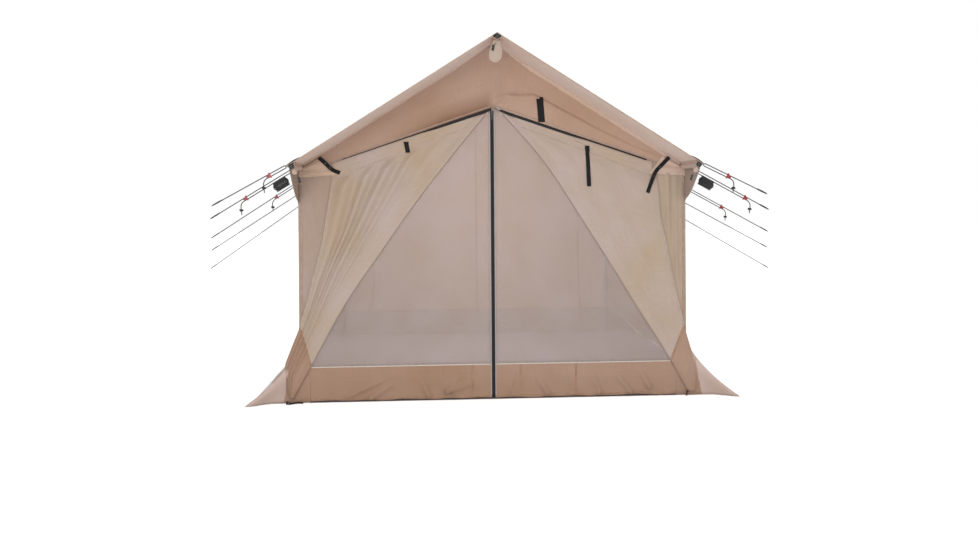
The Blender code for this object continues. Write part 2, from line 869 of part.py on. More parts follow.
def build_tent():
    """Clear the scene and build every piece."""
    for old in list(bpy.data.objects):
        bpy.data.objects.remove(old)
    steel = finish("galvanised_steel", (0.55, 0.56, 0.57), 0.4, 1.0)
    sand = finish("sand_canvas", (0.46, 0.33, 0.24), 0.9)
    pale = finish("pale_canvas", (0.53, 0.41, 0.31), 0.9)
    brown = finish("brown_canvas", (0.38, 0.25, 0.16), 0.85)
    netting = finish("netting", (0.42, 0.36, 0.31), 0.8)
    black = finish("black_webbing", (0.012, 0.012, 0.013), 0.7)
    line = finish("guy_cord", (0.02, 0.02, 0.022), 0.75)
    red = finish("red_plastic", (0.35, 0.02, 0.02), 0.4)
    zinc = finish("dark_zinc", (0.08, 0.08, 0.08), 0.35, 1.0)
    rubber = finish("black_rubber", (0.015, 0.015, 0.015), 0.6)

    pole_caps(rubber, frame_poles(steel))
    for end, frame_y in (("front", frame_front_y), ("rear", frame_rear_y)):
        rafters_and_legs(steel, end, frame_y)
        angle_fittings(steel, end, frame_y)

    roof(sand)
    gable(sand)
    rear_wall(sand)
    ridge_tongue(pale)
    for side, sign in (("left", -1), ("right", 1)):
        side_wall(sand, side, sign)
        front_panel(sand, side, sign)
        storm_flap(pale, side, sign)
        door_leaf(netting, brown, side, sign)
        for number in range(len(guy_reach[side])):
            guy_line(line, side, sign, number)
        for number in range(len(slider_place[side])):
            guy_slider(red, side, sign, number)
        hank(line, side, sign)
    door_zip(black, zinc)
    straps(black)


build_tent()
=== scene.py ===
# %% [markdown]
# A canvas wall tent, dressed for a catalogue picture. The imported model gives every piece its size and
# place. This lesson gives the pieces their looks: canvas with its seams and slack, fine netting, black
# zips and webbing, braided guy lines and the steel frame inside. All lengths are in metres, +Z is up,
# the door faces -Y, and +X is to the right of someone who stands before it.

# %% Load the model
import math

import bpy
import bmesh
from mathutils import Matrix, Vector, noise


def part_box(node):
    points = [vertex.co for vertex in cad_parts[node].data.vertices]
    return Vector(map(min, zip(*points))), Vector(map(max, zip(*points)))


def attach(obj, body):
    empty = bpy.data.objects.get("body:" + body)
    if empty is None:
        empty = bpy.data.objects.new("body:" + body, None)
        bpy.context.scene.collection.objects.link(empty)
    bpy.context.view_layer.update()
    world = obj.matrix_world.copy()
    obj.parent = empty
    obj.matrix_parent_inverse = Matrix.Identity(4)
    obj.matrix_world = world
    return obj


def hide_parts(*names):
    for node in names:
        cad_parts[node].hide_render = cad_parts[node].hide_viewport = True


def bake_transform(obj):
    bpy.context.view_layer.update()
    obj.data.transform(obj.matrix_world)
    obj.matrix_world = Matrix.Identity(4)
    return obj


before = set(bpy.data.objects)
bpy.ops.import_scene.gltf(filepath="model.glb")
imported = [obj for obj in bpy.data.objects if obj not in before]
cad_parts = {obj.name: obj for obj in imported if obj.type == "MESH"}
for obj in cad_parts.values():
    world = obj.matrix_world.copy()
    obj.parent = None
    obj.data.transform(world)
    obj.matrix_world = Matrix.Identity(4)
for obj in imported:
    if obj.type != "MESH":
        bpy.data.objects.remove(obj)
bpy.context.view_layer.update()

# %% [markdown]
# The tent is built from a few sizes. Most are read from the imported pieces, so that the cloth made here
# lies where the model has it. The rest are the sizes of the cut: how deep the gable is, how the door
# flaps fold and how far the sod cloth spreads on the ground.

# %% Sizes of the tent
roof_low, roof_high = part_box("roof_right")
gable_low, gable_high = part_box("gable_front")
canvas = 0.0015
seat = 0.0003
tent_width = 2.44
half_width = tent_width / 2
ridge_height = 2.243
eave_height = 1.468
front_y = (gable_low.y + gable_high.y) / 2
tent_length = 3.05
rear_y = front_y + tent_length
roof_front_y = roof_low.y
roof_rear_y = roof_high.y
roof_reach = roof_high.x
leg_x = 1.20165
ridge_axis_z = 2.22126
eave_axis_z = 1.45792
pole_radius = 0.014
pitch_angle = math.atan2(ridge_height - eave_height, half_width)
print(f"front wall at {front_y:.4f}, rear wall at {rear_y:.4f}, eaves out to {roof_reach:.4f}")

gable_depth = 0.405
gable_edge_depth = 0.045
roof_sag = 0.012
sod_reach = 0.28
sod_height = 0.35
sod_power = 1.3
sod_ripple = 0.012
least_lean_share = 0.12
hem_lift = 0.003
wall_bulge = 0.012
ear_depth = 0.215
ear_reach = 0.41
ear_power = 0.66
leaf_y = front_y + canvas + seat
leaf_outer = half_width - 0.055
skirt_height = 0.22
zip_width = 0.024
flap_y = front_y - canvas / 2 - seat
flap_top_drop = 0.022
flap_corner_drop = 0.053
flap_corner_inset = 0.208
flap_foot_height = 0.03
fold_top_inset = 0.045
fold_foot_in = 0.012
fold_bow = {"left": 0.095, "right": 0.055}
fold_ease = {
    "left": ((0.0, 0.0), (0.5, 0.0), (0.66, 0.026), (0.89, 0.035), (1.0, 0.045)),
    "right": ((0.0, 0.0), (0.1, 0.033), (0.2, 0.040), (0.37, 0.016), (0.5, 0.006), (0.7, 0.002),
              (0.88, 0.020), (1.0, 0.012)),
}
sides = (("left", -1), ("right", 1))


def blend(start, end, share):
    """The point or number at a share of the way from start to end."""
    return start + (end - start) * share


def soft(value):
    """A soft ramp from 0 to 1."""
    value = min(max(value, 0.0), 1.0)
    return value * value * (3 - 2 * value)


def bump(value, middle, width):
    """A soft hill of height 1 round a middle, gone at one width to either side."""
    return soft(1 - abs(value - middle) / width)


def along_table(table, value):
    """Read a table of (place, height) pairs, straight between them."""
    if value <= table[0][0]:
        return table[0][1]
    for (x0, y0), (x1, y1) in zip(table, table[1:]):
        if value <= x1:
            return blend(y0, y1, (value - x0) / (x1 - x0))
    return table[-1][1]


def ripple(x, y, z, size, seed=0.0):
    """Smooth seeded unevenness between about -1 and 1, with hills about as wide as size."""
    return noise.noise(Vector((x / size + seed, y / size - seed, z / size + 2 * seed)))


def roof_z(x):
    """Height of the middle of the roof cloth."""
    return ridge_height - (ridge_height - eave_height) * abs(x) / half_width


def under_roof(x):
    """Height where a panel ends below the roof cloth."""
    return roof_z(x) - canvas / 2 / math.cos(pitch_angle) - seat


def inside_share(y):
    """How far along the tent a place is, from 0 at the front wall to 1 at the rear wall."""
    return min(max((y - front_y) / tent_length, 0.0), 1.0)


def hem_z(x):
    """Height of the gable's slanted hem."""
    top = ridge_height - gable_depth
    return top + (eave_height - gable_edge_depth - top) * abs(x) / half_width


def flare(z):
    """How far the sod cloth stands out from the wall at a height."""
    return sod_reach * max(0.0, 1 - z / sod_height) ** sod_power


def corner_x(z):
    """Where a front or rear panel ends against the flared side wall."""
    rest = max(least_lean_share, 1 - z / sod_height)
    lean = sod_reach * sod_power / sod_height * rest ** (sod_power - 1)
    return half_width + flare(z) - canvas / 2 * math.hypot(1.0, lean) - 2 * seat


def fold_line(side, v):
    """Point (x, z) on the line along which a storm flap is folded back, top to foot."""
    x = blend(fold_top_inset, half_width - fold_foot_in, v) + fold_bow[side] * math.sin(math.pi * v)
    ease = sum(along_table(fold_ease[side], v + step) for step in (-0.04, -0.02, 0.0, 0.02, 0.04)) / 5
    return x + ease, blend(hem_z(fold_top_inset) - flap_top_drop, flap_foot_height, v)

# %% [markdown]
# The camera stands where the photographer stood, a little left of the door and just below eye height.
# Its place, turn and lens come from the corners of the walls and the roof in the photograph, measured
# in its frame of 978 by 550 pixels. The picture's middle lies below the horizon, so the lens is shifted.

# %% The camera
photo_width = 978
photo_height = 550
focal_pixels = 1019.2
horizon_pixels = (510.8, 195.1)
camera_place = Vector((-0.3588, -7.750, 1.2838))
camera_turn = math.radians(4.126)
camera_roll = math.radians(0.41)
sensor_width = 36.0

bpy.ops.object.select_all(action="DESELECT")
bpy.ops.object.camera_add(location=camera_place)
camera = bpy.context.object
camera.name = "photo_camera"
upright = Matrix.Rotation(-camera_turn, 3, "Z") @ Matrix.Rotation(math.radians(90), 3, "X")
camera.rotation_euler = (upright @ Matrix.Rotation(-camera_roll, 3, "Z")).to_euler()
camera.data.sensor_width = sensor_width
camera.data.lens = focal_pixels * sensor_width / photo_width
camera.data.shift_x = (photo_width / 2 - horizon_pixels[0]) / photo_width
camera.data.shift_y = (horizon_pixels[1] - photo_height / 2) / photo_width
camera.data.clip_start = 0.1
camera.data.clip_end = 200
bpy.context.scene.camera = camera
print(f"lens {camera.data.lens:.2f} mm, shift {camera.data.shift_x:.4f} {camera.data.shift_y:.4f}")

# %% [markdown]
# Every finish is a small net of nodes. One function adds a node with its settings and its links, and
# one turns a colour that is written as on a web page into the linear numbers that Blender wants. Noise
# and wave patterns, each scaled from a real size, give the cloth its threads. The cloth's own flat map
# is kept in metres, so that the threads follow each panel.

# %% Helpers for materials
multiplied = {"data_type": "RGBA", "blend_type": "MULTIPLY"}
added = {"data_type": "RGBA", "blend_type": "ADD"}
lighter_of = {"data_type": "RGBA", "blend_type": "LIGHTEN"}
laid_over = {"data_type": "RGBA", "blend_type": "MIX"}
larger_of = {"operation": "MAXIMUM"}


def linear(code):
    """A web colour such as B89F8A as linear red, green, blue and alpha."""
    shares = [int(code[start : start + 2], 16) / 255 for start in (0, 2, 4)]
    return (*[v / 12.92 if v <= 0.04045 else ((v + 0.055) / 1.055) ** 2.4 for v in shares], 1.0)


def grey(value):
    """A neutral colour of one brightness."""
    return (value, value, value, 1.0)


def add_node(material, kind, settings=None, inputs=None, stops=(), output=0):
    """Add a node, set it up and return one of its outputs.

    settings are its properties. inputs gives each socket, by name or number, a value or another
    node's output. stops are the (position, colour) pairs of a colour ramp.
    """
    tree = material.node_tree
    made = tree.nodes.new("ShaderNode" + kind)
    for name, value in (settings or {}).items():
        setattr(made, name, value)
    for socket, value in (inputs or {}).items():
        if isinstance(value, bpy.types.NodeSocket):
            tree.links.new(value, made.inputs[socket])
        else:
            made.inputs[socket].default_value = value
    for number, (position, colour) in enumerate(stops):
        elements = made.color_ramp.elements
        element = elements[number] if number < len(elements) else elements.new(position)
        element.position = position
        element.color = colour
    return made.outputs[output]


def new_material(name, roughness, metallic=0.0, sheen=0.0, specular=0.5):
    """A material with only its shader, whose constant values sit on the shader itself."""
    made = bpy.data.materials.new(name)
    made.use_nodes = True
    shader = made.node_tree.nodes["Principled BSDF"]
    shader.inputs["Roughness"].default_value = roughness
    shader.inputs["Metallic"].default_value = metallic
    shader.inputs["Sheen Weight"].default_value = sheen
    shader.inputs["Specular IOR Level"].default_value = specular
    return made, shader


def dress(material, shader, colour, *layers):
    """Give a shader its colour and its relief: each layer is (pattern, strength, height in metres)."""
    material.node_tree.links.new(colour, shader.inputs["Base Color"])
    for pattern, strength, height in layers:
        inputs = {"Strength": strength, "Distance": height, "Height": pattern}
        if shader.inputs["Normal"].links:
            inputs["Normal"] = shader.inputs["Normal"].links[0].from_socket
        relief = add_node(material, "Bump", inputs=inputs)
        material.node_tree.links.new(relief, shader.inputs["Normal"])


def threads(material, cloth, *rows):
    """Slightly uneven ridges of thread: one pattern for each row of (spacing, direction)."""
    uneven = {"Distortion": 0.35, "Detail": 1.0, "Detail Scale": 0.6}
    patterns = []
    for spacing, direction in rows:
        settings = {"wave_type": "BANDS", "bands_direction": direction}
        inputs = {"Vector": cloth, "Scale": math.pi / 10 / spacing, **uneven}
        patterns.append(add_node(material, "TexWave", settings, inputs, output="Fac"))
    return patterns


def worn_finish(name, tones, stops, wear, relief=None, **look):
    """A finish of two tones in worn patches.

    wear is the patches' (size, detail, roughness). relief is (size, strength, height) of a finer
    grain; where its size is None, the patches themselves stand out.
    """
    made, shader = new_material(name, **look)
    place = add_node(made, "TexCoord", output="Object")
    size, detail, roughness = wear
    inputs = {"Vector": place, "Scale": 1 / size, "Detail": detail, "Roughness": roughness}
    patches = add_node(made, "TexNoise", inputs=inputs, output="Fac")
    colours = [(stop, linear(tone)) for stop, tone in zip(stops, tones)]
    tone = add_node(made, "ValToRGB", inputs={"Fac": patches}, stops=colours)
    layers = []
    if relief:
        size, strength, height = relief
        grain = patches
        if size:
            grain = add_node(made, "TexNoise", inputs={"Vector": place, "Scale": 1 / size}, output="Fac")
        layers.append((grain, strength, height))
    dress(made, shader, tone, *layers)
    return made


# %% [markdown]
# Canvas is heavy cotton in a plain weave, dyed a sand brown. Close up it shows threads with thick
# places, called slubs. The threads are drawn a millimetre and a half apart, which is coarser than real
# ones, so that they show. From across a lawn only the slack and a soft unevenness of the dye are left.
# Cotton has no gloss, and a little sheen gives its edges the pale bloom of loose fibres. Dust from the
# ground tints the lowest hand's width. The gable's left hem curls under, and the cloth just above it
# lies in its own shade and is drawn browner.

# %% Canvas
thread_spacing = 0.0015
slub_size = 0.006
dye_patch_size = 0.55
dust_patch_size = 0.1
wrinkle_size = 0.09
pucker_size = 0.02


def hem_shadow(material, place, colour):
    """Browner cloth above the left part of the gable's slanted hem."""
    x, z = (add_node(material, "SeparateXYZ", inputs={"Vector": place}, output=axis) for axis in "XZ")
    slant = add_node(material, "Math", {"operation": "MULTIPLY_ADD"}, {0: x, 1: hem_z(1) - hem_z(0), 2: z})
    above = add_node(material, "Math", {"operation": "SUBTRACT"}, {0: slant, 1: hem_z(0)})
    near = add_node(material, "ValToRGB", inputs={"Fac": above},
                    stops=((0.0, grey(0.9)), (0.035, grey(0.6)), (0.13, grey(0.0))))
    leftward = add_node(material, "Math", {"operation": "MULTIPLY"}, {0: x, 1: -1.0})
    span = add_node(material, "ValToRGB", inputs={"Fac": leftward},
                    stops=((0.0, grey(0)), (0.04, grey(1)), (0.3, grey(1)), (0.7, grey(0.15))))
    mask = add_node(material, "Mix", multiplied, {0: 1.0, 6: near, 7: span}, output=2)
    return add_node(material, "Mix", laid_over, {0: mask, 6: colour, 7: linear("77563E")}, output=2)


def canvas_finish(name, main, pale, dark, crease=0.3, dust=None, hem_shade=False):
    """Dyed cotton canvas: uneven dye, slubs along both threads, creases and a soft sheen."""
    made, shader = new_material(name, roughness=0.94, sheen=0.06, specular=0.12)
    shader.inputs["Sheen Roughness"].default_value = 0.5
    place = add_node(made, "TexCoord", output="Object")
    cloth = add_node(made, "TexCoord", output="UV")
    inputs = {"Vector": place, "Scale": 1 / dye_patch_size, "Detail": 3.0}
    clouds = add_node(made, "TexNoise", inputs=inputs, output="Fac")
    colour = add_node(made, "ValToRGB", inputs={"Fac": clouds},
                      stops=((0.32, linear(dark)), (0.5, linear(main)), (0.68, linear(pale))))
    slubs = []
    for stretch in ((1.0, 0.05, 1.0), (0.05, 1.0, 1.0)):
        drawn_out = add_node(made, "Mapping", inputs={"Vector": cloth, "Scale": stretch})
        inputs = {"Vector": drawn_out, "Scale": 1 / slub_size, "Roughness": 0.6}
        slubs.append(add_node(made, "TexNoise", inputs=inputs, output="Fac"))
    both = add_node(made, "Mix", multiplied, {0: 1.0, 6: slubs[0], 7: slubs[1]}, output=2)
    thick = add_node(made, "ValToRGB", inputs={"Fac": both}, stops=((0.12, grey(0.93)), (0.4, grey(1.03))))
    colour = add_node(made, "Mix", multiplied, {0: 1.0, 6: colour, 7: thick}, output=2)
    if dust:
        height = add_node(made, "SeparateXYZ", inputs={"Vector": place}, output="Z")
        inputs = {"Vector": place, "Scale": 1 / dust_patch_size, "Detail": 4.0, "Roughness": 0.6}
        patches = add_node(made, "TexNoise", inputs=inputs, output="Fac")
        uneven = add_node(made, "Math", {"operation": "MULTIPLY_ADD"}, {0: patches, 1: -0.12, 2: height})
        mask = add_node(made, "ValToRGB", inputs={"Fac": uneven}, stops=((0.0, grey(0.5)), (0.11, grey(0.0))))
        colour = add_node(made, "Mix", laid_over, {0: mask, 6: colour, 7: linear(dust)}, output=2)
    if hem_shade:
        colour = hem_shadow(made, place, colour)
    warp, weft = threads(made, cloth, (thread_spacing, "X"), (thread_spacing, "Y"))
    weave = add_node(made, "Mix", added, {0: 1.0, 6: warp, 7: weft}, output=2)
    inputs = {"Vector": cloth, "Scale": 1 / pucker_size, "Detail": 3.0, "Roughness": 0.55}
    pucker = add_node(made, "TexNoise", inputs=inputs, output="Fac")
    inputs = {"Vector": place, "Scale": 1 / wrinkle_size, "Detail": 3.0, "Roughness": 0.55}
    wrinkles = add_node(made, "TexNoise", inputs=inputs, output="Fac")
    dress(made, shader, colour, (weave, 0.3, 0.0004), (pucker, 0.3, 0.0008), (wrinkles, crease, 0.008))
    return made


sand_canvas = canvas_finish("sand_cotton_canvas", "A59288", "A9978F", "A28E7F")
gable_canvas = canvas_finish("gable_cotton_canvas", "AC907F", "AF9586", "A88B77", hem_shade=True)
roof_canvas = canvas_finish("roof_cotton_canvas", "C2AB9C", "C6B1A6", "BEA691")
# Painted light: a paler copy of the roof cloth for its inner face, as if lit by the sky through the cloth.
roof_inner_painted_light = canvas_finish("roof_cloth_inner_face", "E0CDC3", "E3D2CB", "DCC8BB")
flap_canvas = canvas_finish("flap_cotton_canvas", "AF9E92", "B2A29D", "AD9985", 0.25)
pale_wall_canvas = canvas_finish("pale_wall_canvas", "AA9886", "AE9D90", "A5917C", 0.25)
sod_canvas = canvas_finish("sod_coated_cloth", "BDA79C", "C2AEA6", "B79F92", 0.5, "B39E93")
skirt_canvas = canvas_finish("skirt_coated_cloth", "A18472", "A58979", "9C7E69", 0.6, "977C69")
rear_canvas = canvas_finish("rear_cotton_canvas", "BDA796", "BFACA2", "BAA28A")
rear_band_cloth = canvas_finish("rear_coated_cloth", "A39794", "A79C9A", "9E918B", 0.5)
print("canvas finishes", len(bpy.data.materials))

# %% [markdown]
# Seams are flat-felled: the cloth is doubled in a narrow band with a row of stitches along each edge.
# The band's own flat map counts metres across and along, so the stitches are dashes four millimetres
# apart near its two edges. The webbing of the straps has ribs across it over a slanted twill.

# %% Seams, thread and webbing
seam_width = 0.014
stitch_spacing = 0.004
thread_colour = "86705F"
rib_spacing = 0.0022
twill_spacing = 0.0016


def seam_finish(name, main, dark):
    """Doubled canvas with its two rows of stitches."""
    made, shader = new_material(name, roughness=0.94, specular=0.12)
    place = add_node(made, "TexCoord", output="Object")
    cloth = add_node(made, "TexCoord", output="UV")
    inputs = {"Vector": place, "Scale": 1 / 0.03, "Detail": 3.0}
    mottle = add_node(made, "TexNoise", inputs=inputs, output="Fac")
    tone = add_node(made, "ValToRGB", inputs={"Fac": mottle},
                    stops=((0.35, linear(dark)), (0.65, linear(main))))
    across, along = (add_node(made, "SeparateXYZ", inputs={"Vector": cloth}, output=axis) for axis in "XY")
    middle = add_node(made, "Math", {"operation": "SUBTRACT"}, {0: across, 1: seam_width / 2})
    aside = add_node(made, "Math", {"operation": "ABSOLUTE"}, {0: middle})
    share = add_node(made, "Math", {"operation": "DIVIDE"}, {0: aside, 1: seam_width / 2})
    rows = add_node(made, "ValToRGB", inputs={"Fac": share},
                    stops=((0.60, grey(0)), (0.68, grey(1)), (0.80, grey(0))))
    turns = add_node(made, "Math", {"operation": "MULTIPLY"}, {0: along, 1: 2 * math.pi / stitch_spacing})
    wave = add_node(made, "Math", {"operation": "SINE"}, {0: turns})
    dashes = add_node(made, "ValToRGB", inputs={"Fac": wave}, stops=((0.0, grey(0)), (0.35, grey(1))))
    stitches = add_node(made, "Mix", multiplied, {0: 1.0, 6: rows, 7: dashes}, output=2)
    colour = add_node(made, "Mix", laid_over, {0: stitches, 6: tone, 7: linear(thread_colour)}, output=2)
    drawn_out = add_node(made, "Mapping", inputs={"Vector": cloth, "Scale": (0.3, 1.0, 1.0)})
    pucker = add_node(made, "TexNoise", inputs={"Vector": drawn_out, "Scale": 1 / 0.012}, output="Fac")
    dress(made, shader, colour, (stitches, 0.6, 0.0006), (pucker, 0.5, 0.0012))
    return made


sand_seam = seam_finish("sand_felled_seam", "A59084", "9A8478")
roof_seam = seam_finish("roof_felled_seam", "BDA593", "B09784")
flap_seam = seam_finish("flap_felled_seam", "B1A095", "A6958A")
skirt_seam = seam_finish("skirt_felled_seam", "A3856F", "94765F")
rear_seam = seam_finish("rear_felled_seam", "A8917F", "9A826F")

webbing, webbing_shader = new_material("black_webbing", roughness=0.75, sheen=0.05, specular=0.25)
web_flat = add_node(webbing, "TexCoord", output="UV")
ribs, twill = threads(webbing, web_flat, (rib_spacing, "Y"), (twill_spacing, "DIAGONAL"))
web_pattern = add_node(webbing, "Mix", multiplied, {0: 1.0, 6: ribs, 7: twill}, output=2)
web_tone = add_node(webbing, "ValToRGB", inputs={"Fac": web_pattern},
                    stops=((0.2, linear("08080A")), (0.8, linear("151417"))))
dress(webbing, webbing_shader, web_tone, (web_pattern, 0.6, 0.0005))
print("finishes with seams and webbing", len(bpy.data.materials))

# %% [markdown]
# Ten guy lines hold the roof out, five at each eave. Each is one braided cord, 6 mm thick: it runs from
# the eave to its eye, turns round the eave's ring and comes back through a line runner, which holds it
# tight. The picture cuts the lines off, so each ends in its eye just outside the view. The routes are
# the ones that the model has. The main strand and the returning strand are two curves that meet at the
# ring, because a cord here is one open curve of a known length.

# %% Guy lines
cord_diameter = 0.006
cord_start_gap = 0.0005
guy_corner_inset = 0.03
guy_row_shares = (0.0, 1 / 3, 2 / 3, 1.0)
guy_reach = {"left": (0.42, 0.515, 0.733, 0.951, 1.181), "right": (0.381, 0.522, 0.851, 1.18, 1.525)}
guy_fall = {"left": (0.232, 0.315, 0.475, 0.614, 0.832), "right": (0.186, 0.286, 0.466, 0.639, 0.889)}
slider_place = {"left": (0.115, 0.36, 0.33, 0.25, 0.25), "right": (0.17, 0.43, 0.58, 0.25, 0.25)}
slider_length = 0.026
strand_spacing = 0.016
eye_length = 0.07
eye_width = 0.026
eye_crossing_share = 1.2
tail_run = 0.012
tail_length = 0.075
knot_size = 1.25
guy_rows = [roof_front_y + guy_corner_inset] + [front_y + tent_length * share for share in guy_row_shares]

cord_fibre = worn_finish("braided_polyester_cord", ("17171A", "2B2B2F"), (0.3, 0.7), (0.003, 1.0, 0.5),
                         (None, 0.5, 0.0008), roughness=0.75, sheen=0.2)


def smooth_route(points, steps):
    """Points read from a soft curve that passes through every point of a route."""
    route = []
    last = len(points) - 1
    for index in range(last):
        before, here = points[max(index - 1, 0)], points[index]
        there, after = points[index + 1], points[min(index + 2, last)]
        for step in range(steps):
            t = step / steps
            bend = 2 * before - 5 * here + 4 * there - after
            pull = 3 * here - 3 * there - before + after
            route.append(here + ((there - before) * t + bend * t**2 + pull * t**3) / 2)
    return route + [points[last]]


def length_of(points):
    """Length of a line of points."""
    return sum((b - a).length for a, b in zip(points, points[1:]))


def cord_curve(name, points, diameter=cord_diameter, finish=cord_fibre):
    """A round cord along a line of points, with closed ends."""
    bpy.ops.object.select_all(action="DESELECT")
    bpy.ops.curve.primitive_nurbs_path_add(location=(0, 0, 0))
    made = bpy.context.object
    made.name = name
    made.data.splines.clear()
    line = made.data.splines.new("POLY")
    line.points.add(len(points) - 1)
    for target, point in zip(line.points, points):
        target.co = (*point, 1.0)
    line.use_endpoint_u = False
    made.data.bevel_depth = diameter / 2
    made.data.bevel_resolution = 3
    made.data.use_fill_caps = True
    made.data.materials.append(finish)
    return made


def solid_cord(made, body):
    """Turn a round cord that is no free cord, such as a knot or a ring, into a mesh on its body."""
    bpy.ops.object.select_all(action="DESELECT")
    made.select_set(True)
    bpy.context.view_layer.objects.active = made
    bpy.ops.object.convert(target="MESH")
    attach(made, body)
    return made


def guy_frame(side, sign, number):
    """Start, direction and length of a guy line."""
    start_x = sign * (roof_reach + cord_start_gap + cord_diameter / 2)
    start = Vector((start_x, guy_rows[number], roof_z(roof_reach)))
    run = Vector((sign * guy_reach[side][number], 0, -guy_fall[side][number]))
    return start, run.normalized(), run.length


def below(along):
    """The direction square to a guy line that points down."""
    down = along.cross(Vector((0, 1, 0))).normalized()
    return -down if down.z > 0 else down


def knot(name, place, body):
    """An overhand knot at the end of a cord, pulled tight: a trefoil curve."""
    size = cord_diameter * 1.35
    points = []
    for step in range(36):
        t = 2 * math.pi * step / 36
        x, y = math.sin(t) + 2 * math.sin(2 * t), math.cos(t) - 2 * math.cos(2 * t)
        points.append(place + Vector((x, y, -1.15 * math.sin(3 * t))) * (size * knot_size) / 3)
    return solid_cord(cord_curve(name, points + points[:1], size * 0.95), body)


cord_lengths = []
for side, sign in sides:
    for number in range(len(guy_rows)):
        start, along, length = guy_frame(side, sign, number)
        half = eye_width / 2
        turn = strand_spacing / 2
        angles = [math.pi / 2 * share / 3 for share in range(4)]
        down = below(along)

        def at(distance, under, aside=0.0, drop=0.0):
            """A point so far along the line, square under it, to its front and straight down."""
            return start + along * distance + down * under + Vector((0, -aside, -drop))

        def guy_strand(label, points, **facts):
            """One of the two strands of the line, as a round cord."""
            made = cord_curve(f"guy_{label}_strand_{side}_{number + 1}", points)
            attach(made, "tent")
            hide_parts(f"guy_line_{side}_{number + 1}")
            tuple(points[0])
            length_of(points)

        bend = [at(turn - turn * math.cos(angle), -turn * math.sin(angle)) for angle in angles]
        neck = length - eye_length * eye_crossing_share
        straight = [at(blend(turn, neck, share / 10), -turn) for share in range(1, 10)]
        eye = [
            at(neck, -turn),
            at(length - eye_length / 2, -turn, -half),
            at(length, -turn),
            at(length - eye_length / 2, -turn, half + cord_diameter),
            at(length - eye_length, -turn, 2 * cord_diameter),
        ]
        main = bend + straight + smooth_route(eye, 6)
        guy_strand("main", main)

        back_bend = [at(turn - turn * math.cos(angle), turn * math.sin(angle)) for angle in angles]
        reach = slider_place[side][number] + slider_length / 2 + cord_diameter
        tail = [
            at(reach, turn),
            at(reach + tail_run, turn, drop=cord_diameter),
            at(reach + tail_run + cord_diameter, turn, drop=tail_length / 3),
            at(reach + tail_run, turn, drop=tail_length),
        ]
        straight = [at(blend(turn, reach, share / 6), turn) for share in range(1, 6)]
        back = back_bend + straight + smooth_route(tail, 5)
        end_knot = knot(f"guy_end_knot_{side}_{number + 1}", back[-4], "tent")
        guy_strand("return", back, with_pieces=[end_knot])
        cord_lengths.append(round(length_of(main) + length_of(back), 3))
print("guy line lengths", cord_lengths)

# %% [markdown]
# On the second line of each side the spare cord is wound into a flat hank of four turns, as wide as a
# hand, and hung from the line. It spirals in on one layer and out again on the next, as it is in the
# model, and a tie is wrapped round its middle and hides most of it.

# %% Hanks of spare cord
hank_turns = 4
hank_points = 18
hank_length = 0.11
hank_width = 0.054
hank_pitch = 0.0067
hank_climb_turns = 0.5
hank_place = {"left": 0.125, "right": 0.155}
tie_turns = 17
tie_points_a_turn = 20
tie_half_width = hank_width / 2 + cord_diameter * 0.6
tie_half_depth = cord_diameter * 1.7
tie_pitch = cord_diameter * 0.85
tie_diameter = cord_diameter * 0.8

for side, sign in sides:
    start, along, _ = guy_frame(side, sign, 1)
    down = below(along)
    run = hank_length / 2 - hank_width / 2
    turns = []
    for index in range(hank_turns * hank_points + 1):
        turn = index / hank_points
        inward = min(turn, hank_turns - turn)
        radius = hank_width / 2 - cord_diameter / 2 - hank_pitch * inward
        layer = hank_pitch * soft((turn - hank_turns / 2) / hank_climb_turns + 0.5)
        angle = 2 * math.pi * (turn % 1.0)
        end = math.copysign(run, math.cos(angle))
        turns.append(along * (end + radius * math.cos(angle)) + down * radius * math.sin(angle)
                     + Vector((0, layer - hank_pitch, 0)))
    top = max(-place.dot(down) for place in turns)
    under = strand_spacing / 2 + cord_diameter + seat + top
    middle = start + along * hank_place[side] + down * under
    points = [middle + place for place in turns]
    tie_points = []
    for step in range(tie_turns * tie_points_a_turn + 1):
        turn = step / tie_points_a_turn
        wide = down * tie_half_width * math.cos(2 * math.pi * turn)
        deep = tie_half_depth * math.sin(2 * math.pi * turn) - hank_pitch / 2
        aside = along * (turn - tie_turns / 2) * tie_pitch
        tie_points.append(middle + wide + Vector((0, deep, 0)) + aside)
    tie = solid_cord(cord_curve(f"hank_tie_{side}", tie_points, tie_diameter), "tent")
    hank = cord_curve(f"hank_{side}", points)
    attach(hank, "tent")
    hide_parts(f"spare_cord_{side}")
    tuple(points[0])
    length_of(points)
    print(f"hank {side}: {length_of(points):.3f} m of cord")

# %% [markdown]
# Every panel of the tent starts as a grid, as fine as its folds need, whose points are then laid in
# place by a rule: how far across and how far up the panel a point is gives where it hangs. A Solidify
# modifier gives the cloth its thickness and its cut edges. The grid's flat map is stretched to metres,
# so that threads and stitches keep their size. This is quicker to steer than a simulation, and a tent
# under tension has little else but slack between its seams.

# %% Laying cloth
measure_steps = 40
felled_lift = 0.0011
felled_thickness = 0.0009


def apply_modifiers(piece):
    """Apply every modifier of a piece, in order."""
    bpy.ops.object.select_all(action="DESELECT")
    piece.select_set(True)
    bpy.context.view_layer.objects.active = piece
    for modifier in list(piece.modifiers):
        bpy.ops.object.modifier_apply(modifier=modifier.name)


def sheet_size(place):
    """Width and length of a panel, measured along its middle lines."""
    shares = [index / measure_steps for index in range(measure_steps + 1)]
    return length_of([place(u, 0.5) for u in shares]), length_of([place(0.5, v) for v in shares])


def sheet_area(place):
    """Flat area of a panel, from its place rule."""
    shares = [index / measure_steps for index in range(measure_steps + 1)]
    grid = [[place(u, v) for u in shares] for v in shares]
    area = 0.0
    for low, high in zip(grid, grid[1:]):
        for index in range(measure_steps):
            first = (low[index + 1] - low[index]).cross(high[index] - low[index]).length
            second = (low[index + 1] - high[index + 1]).cross(high[index] - high[index + 1]).length
            area += (first + second) / 2
    return area


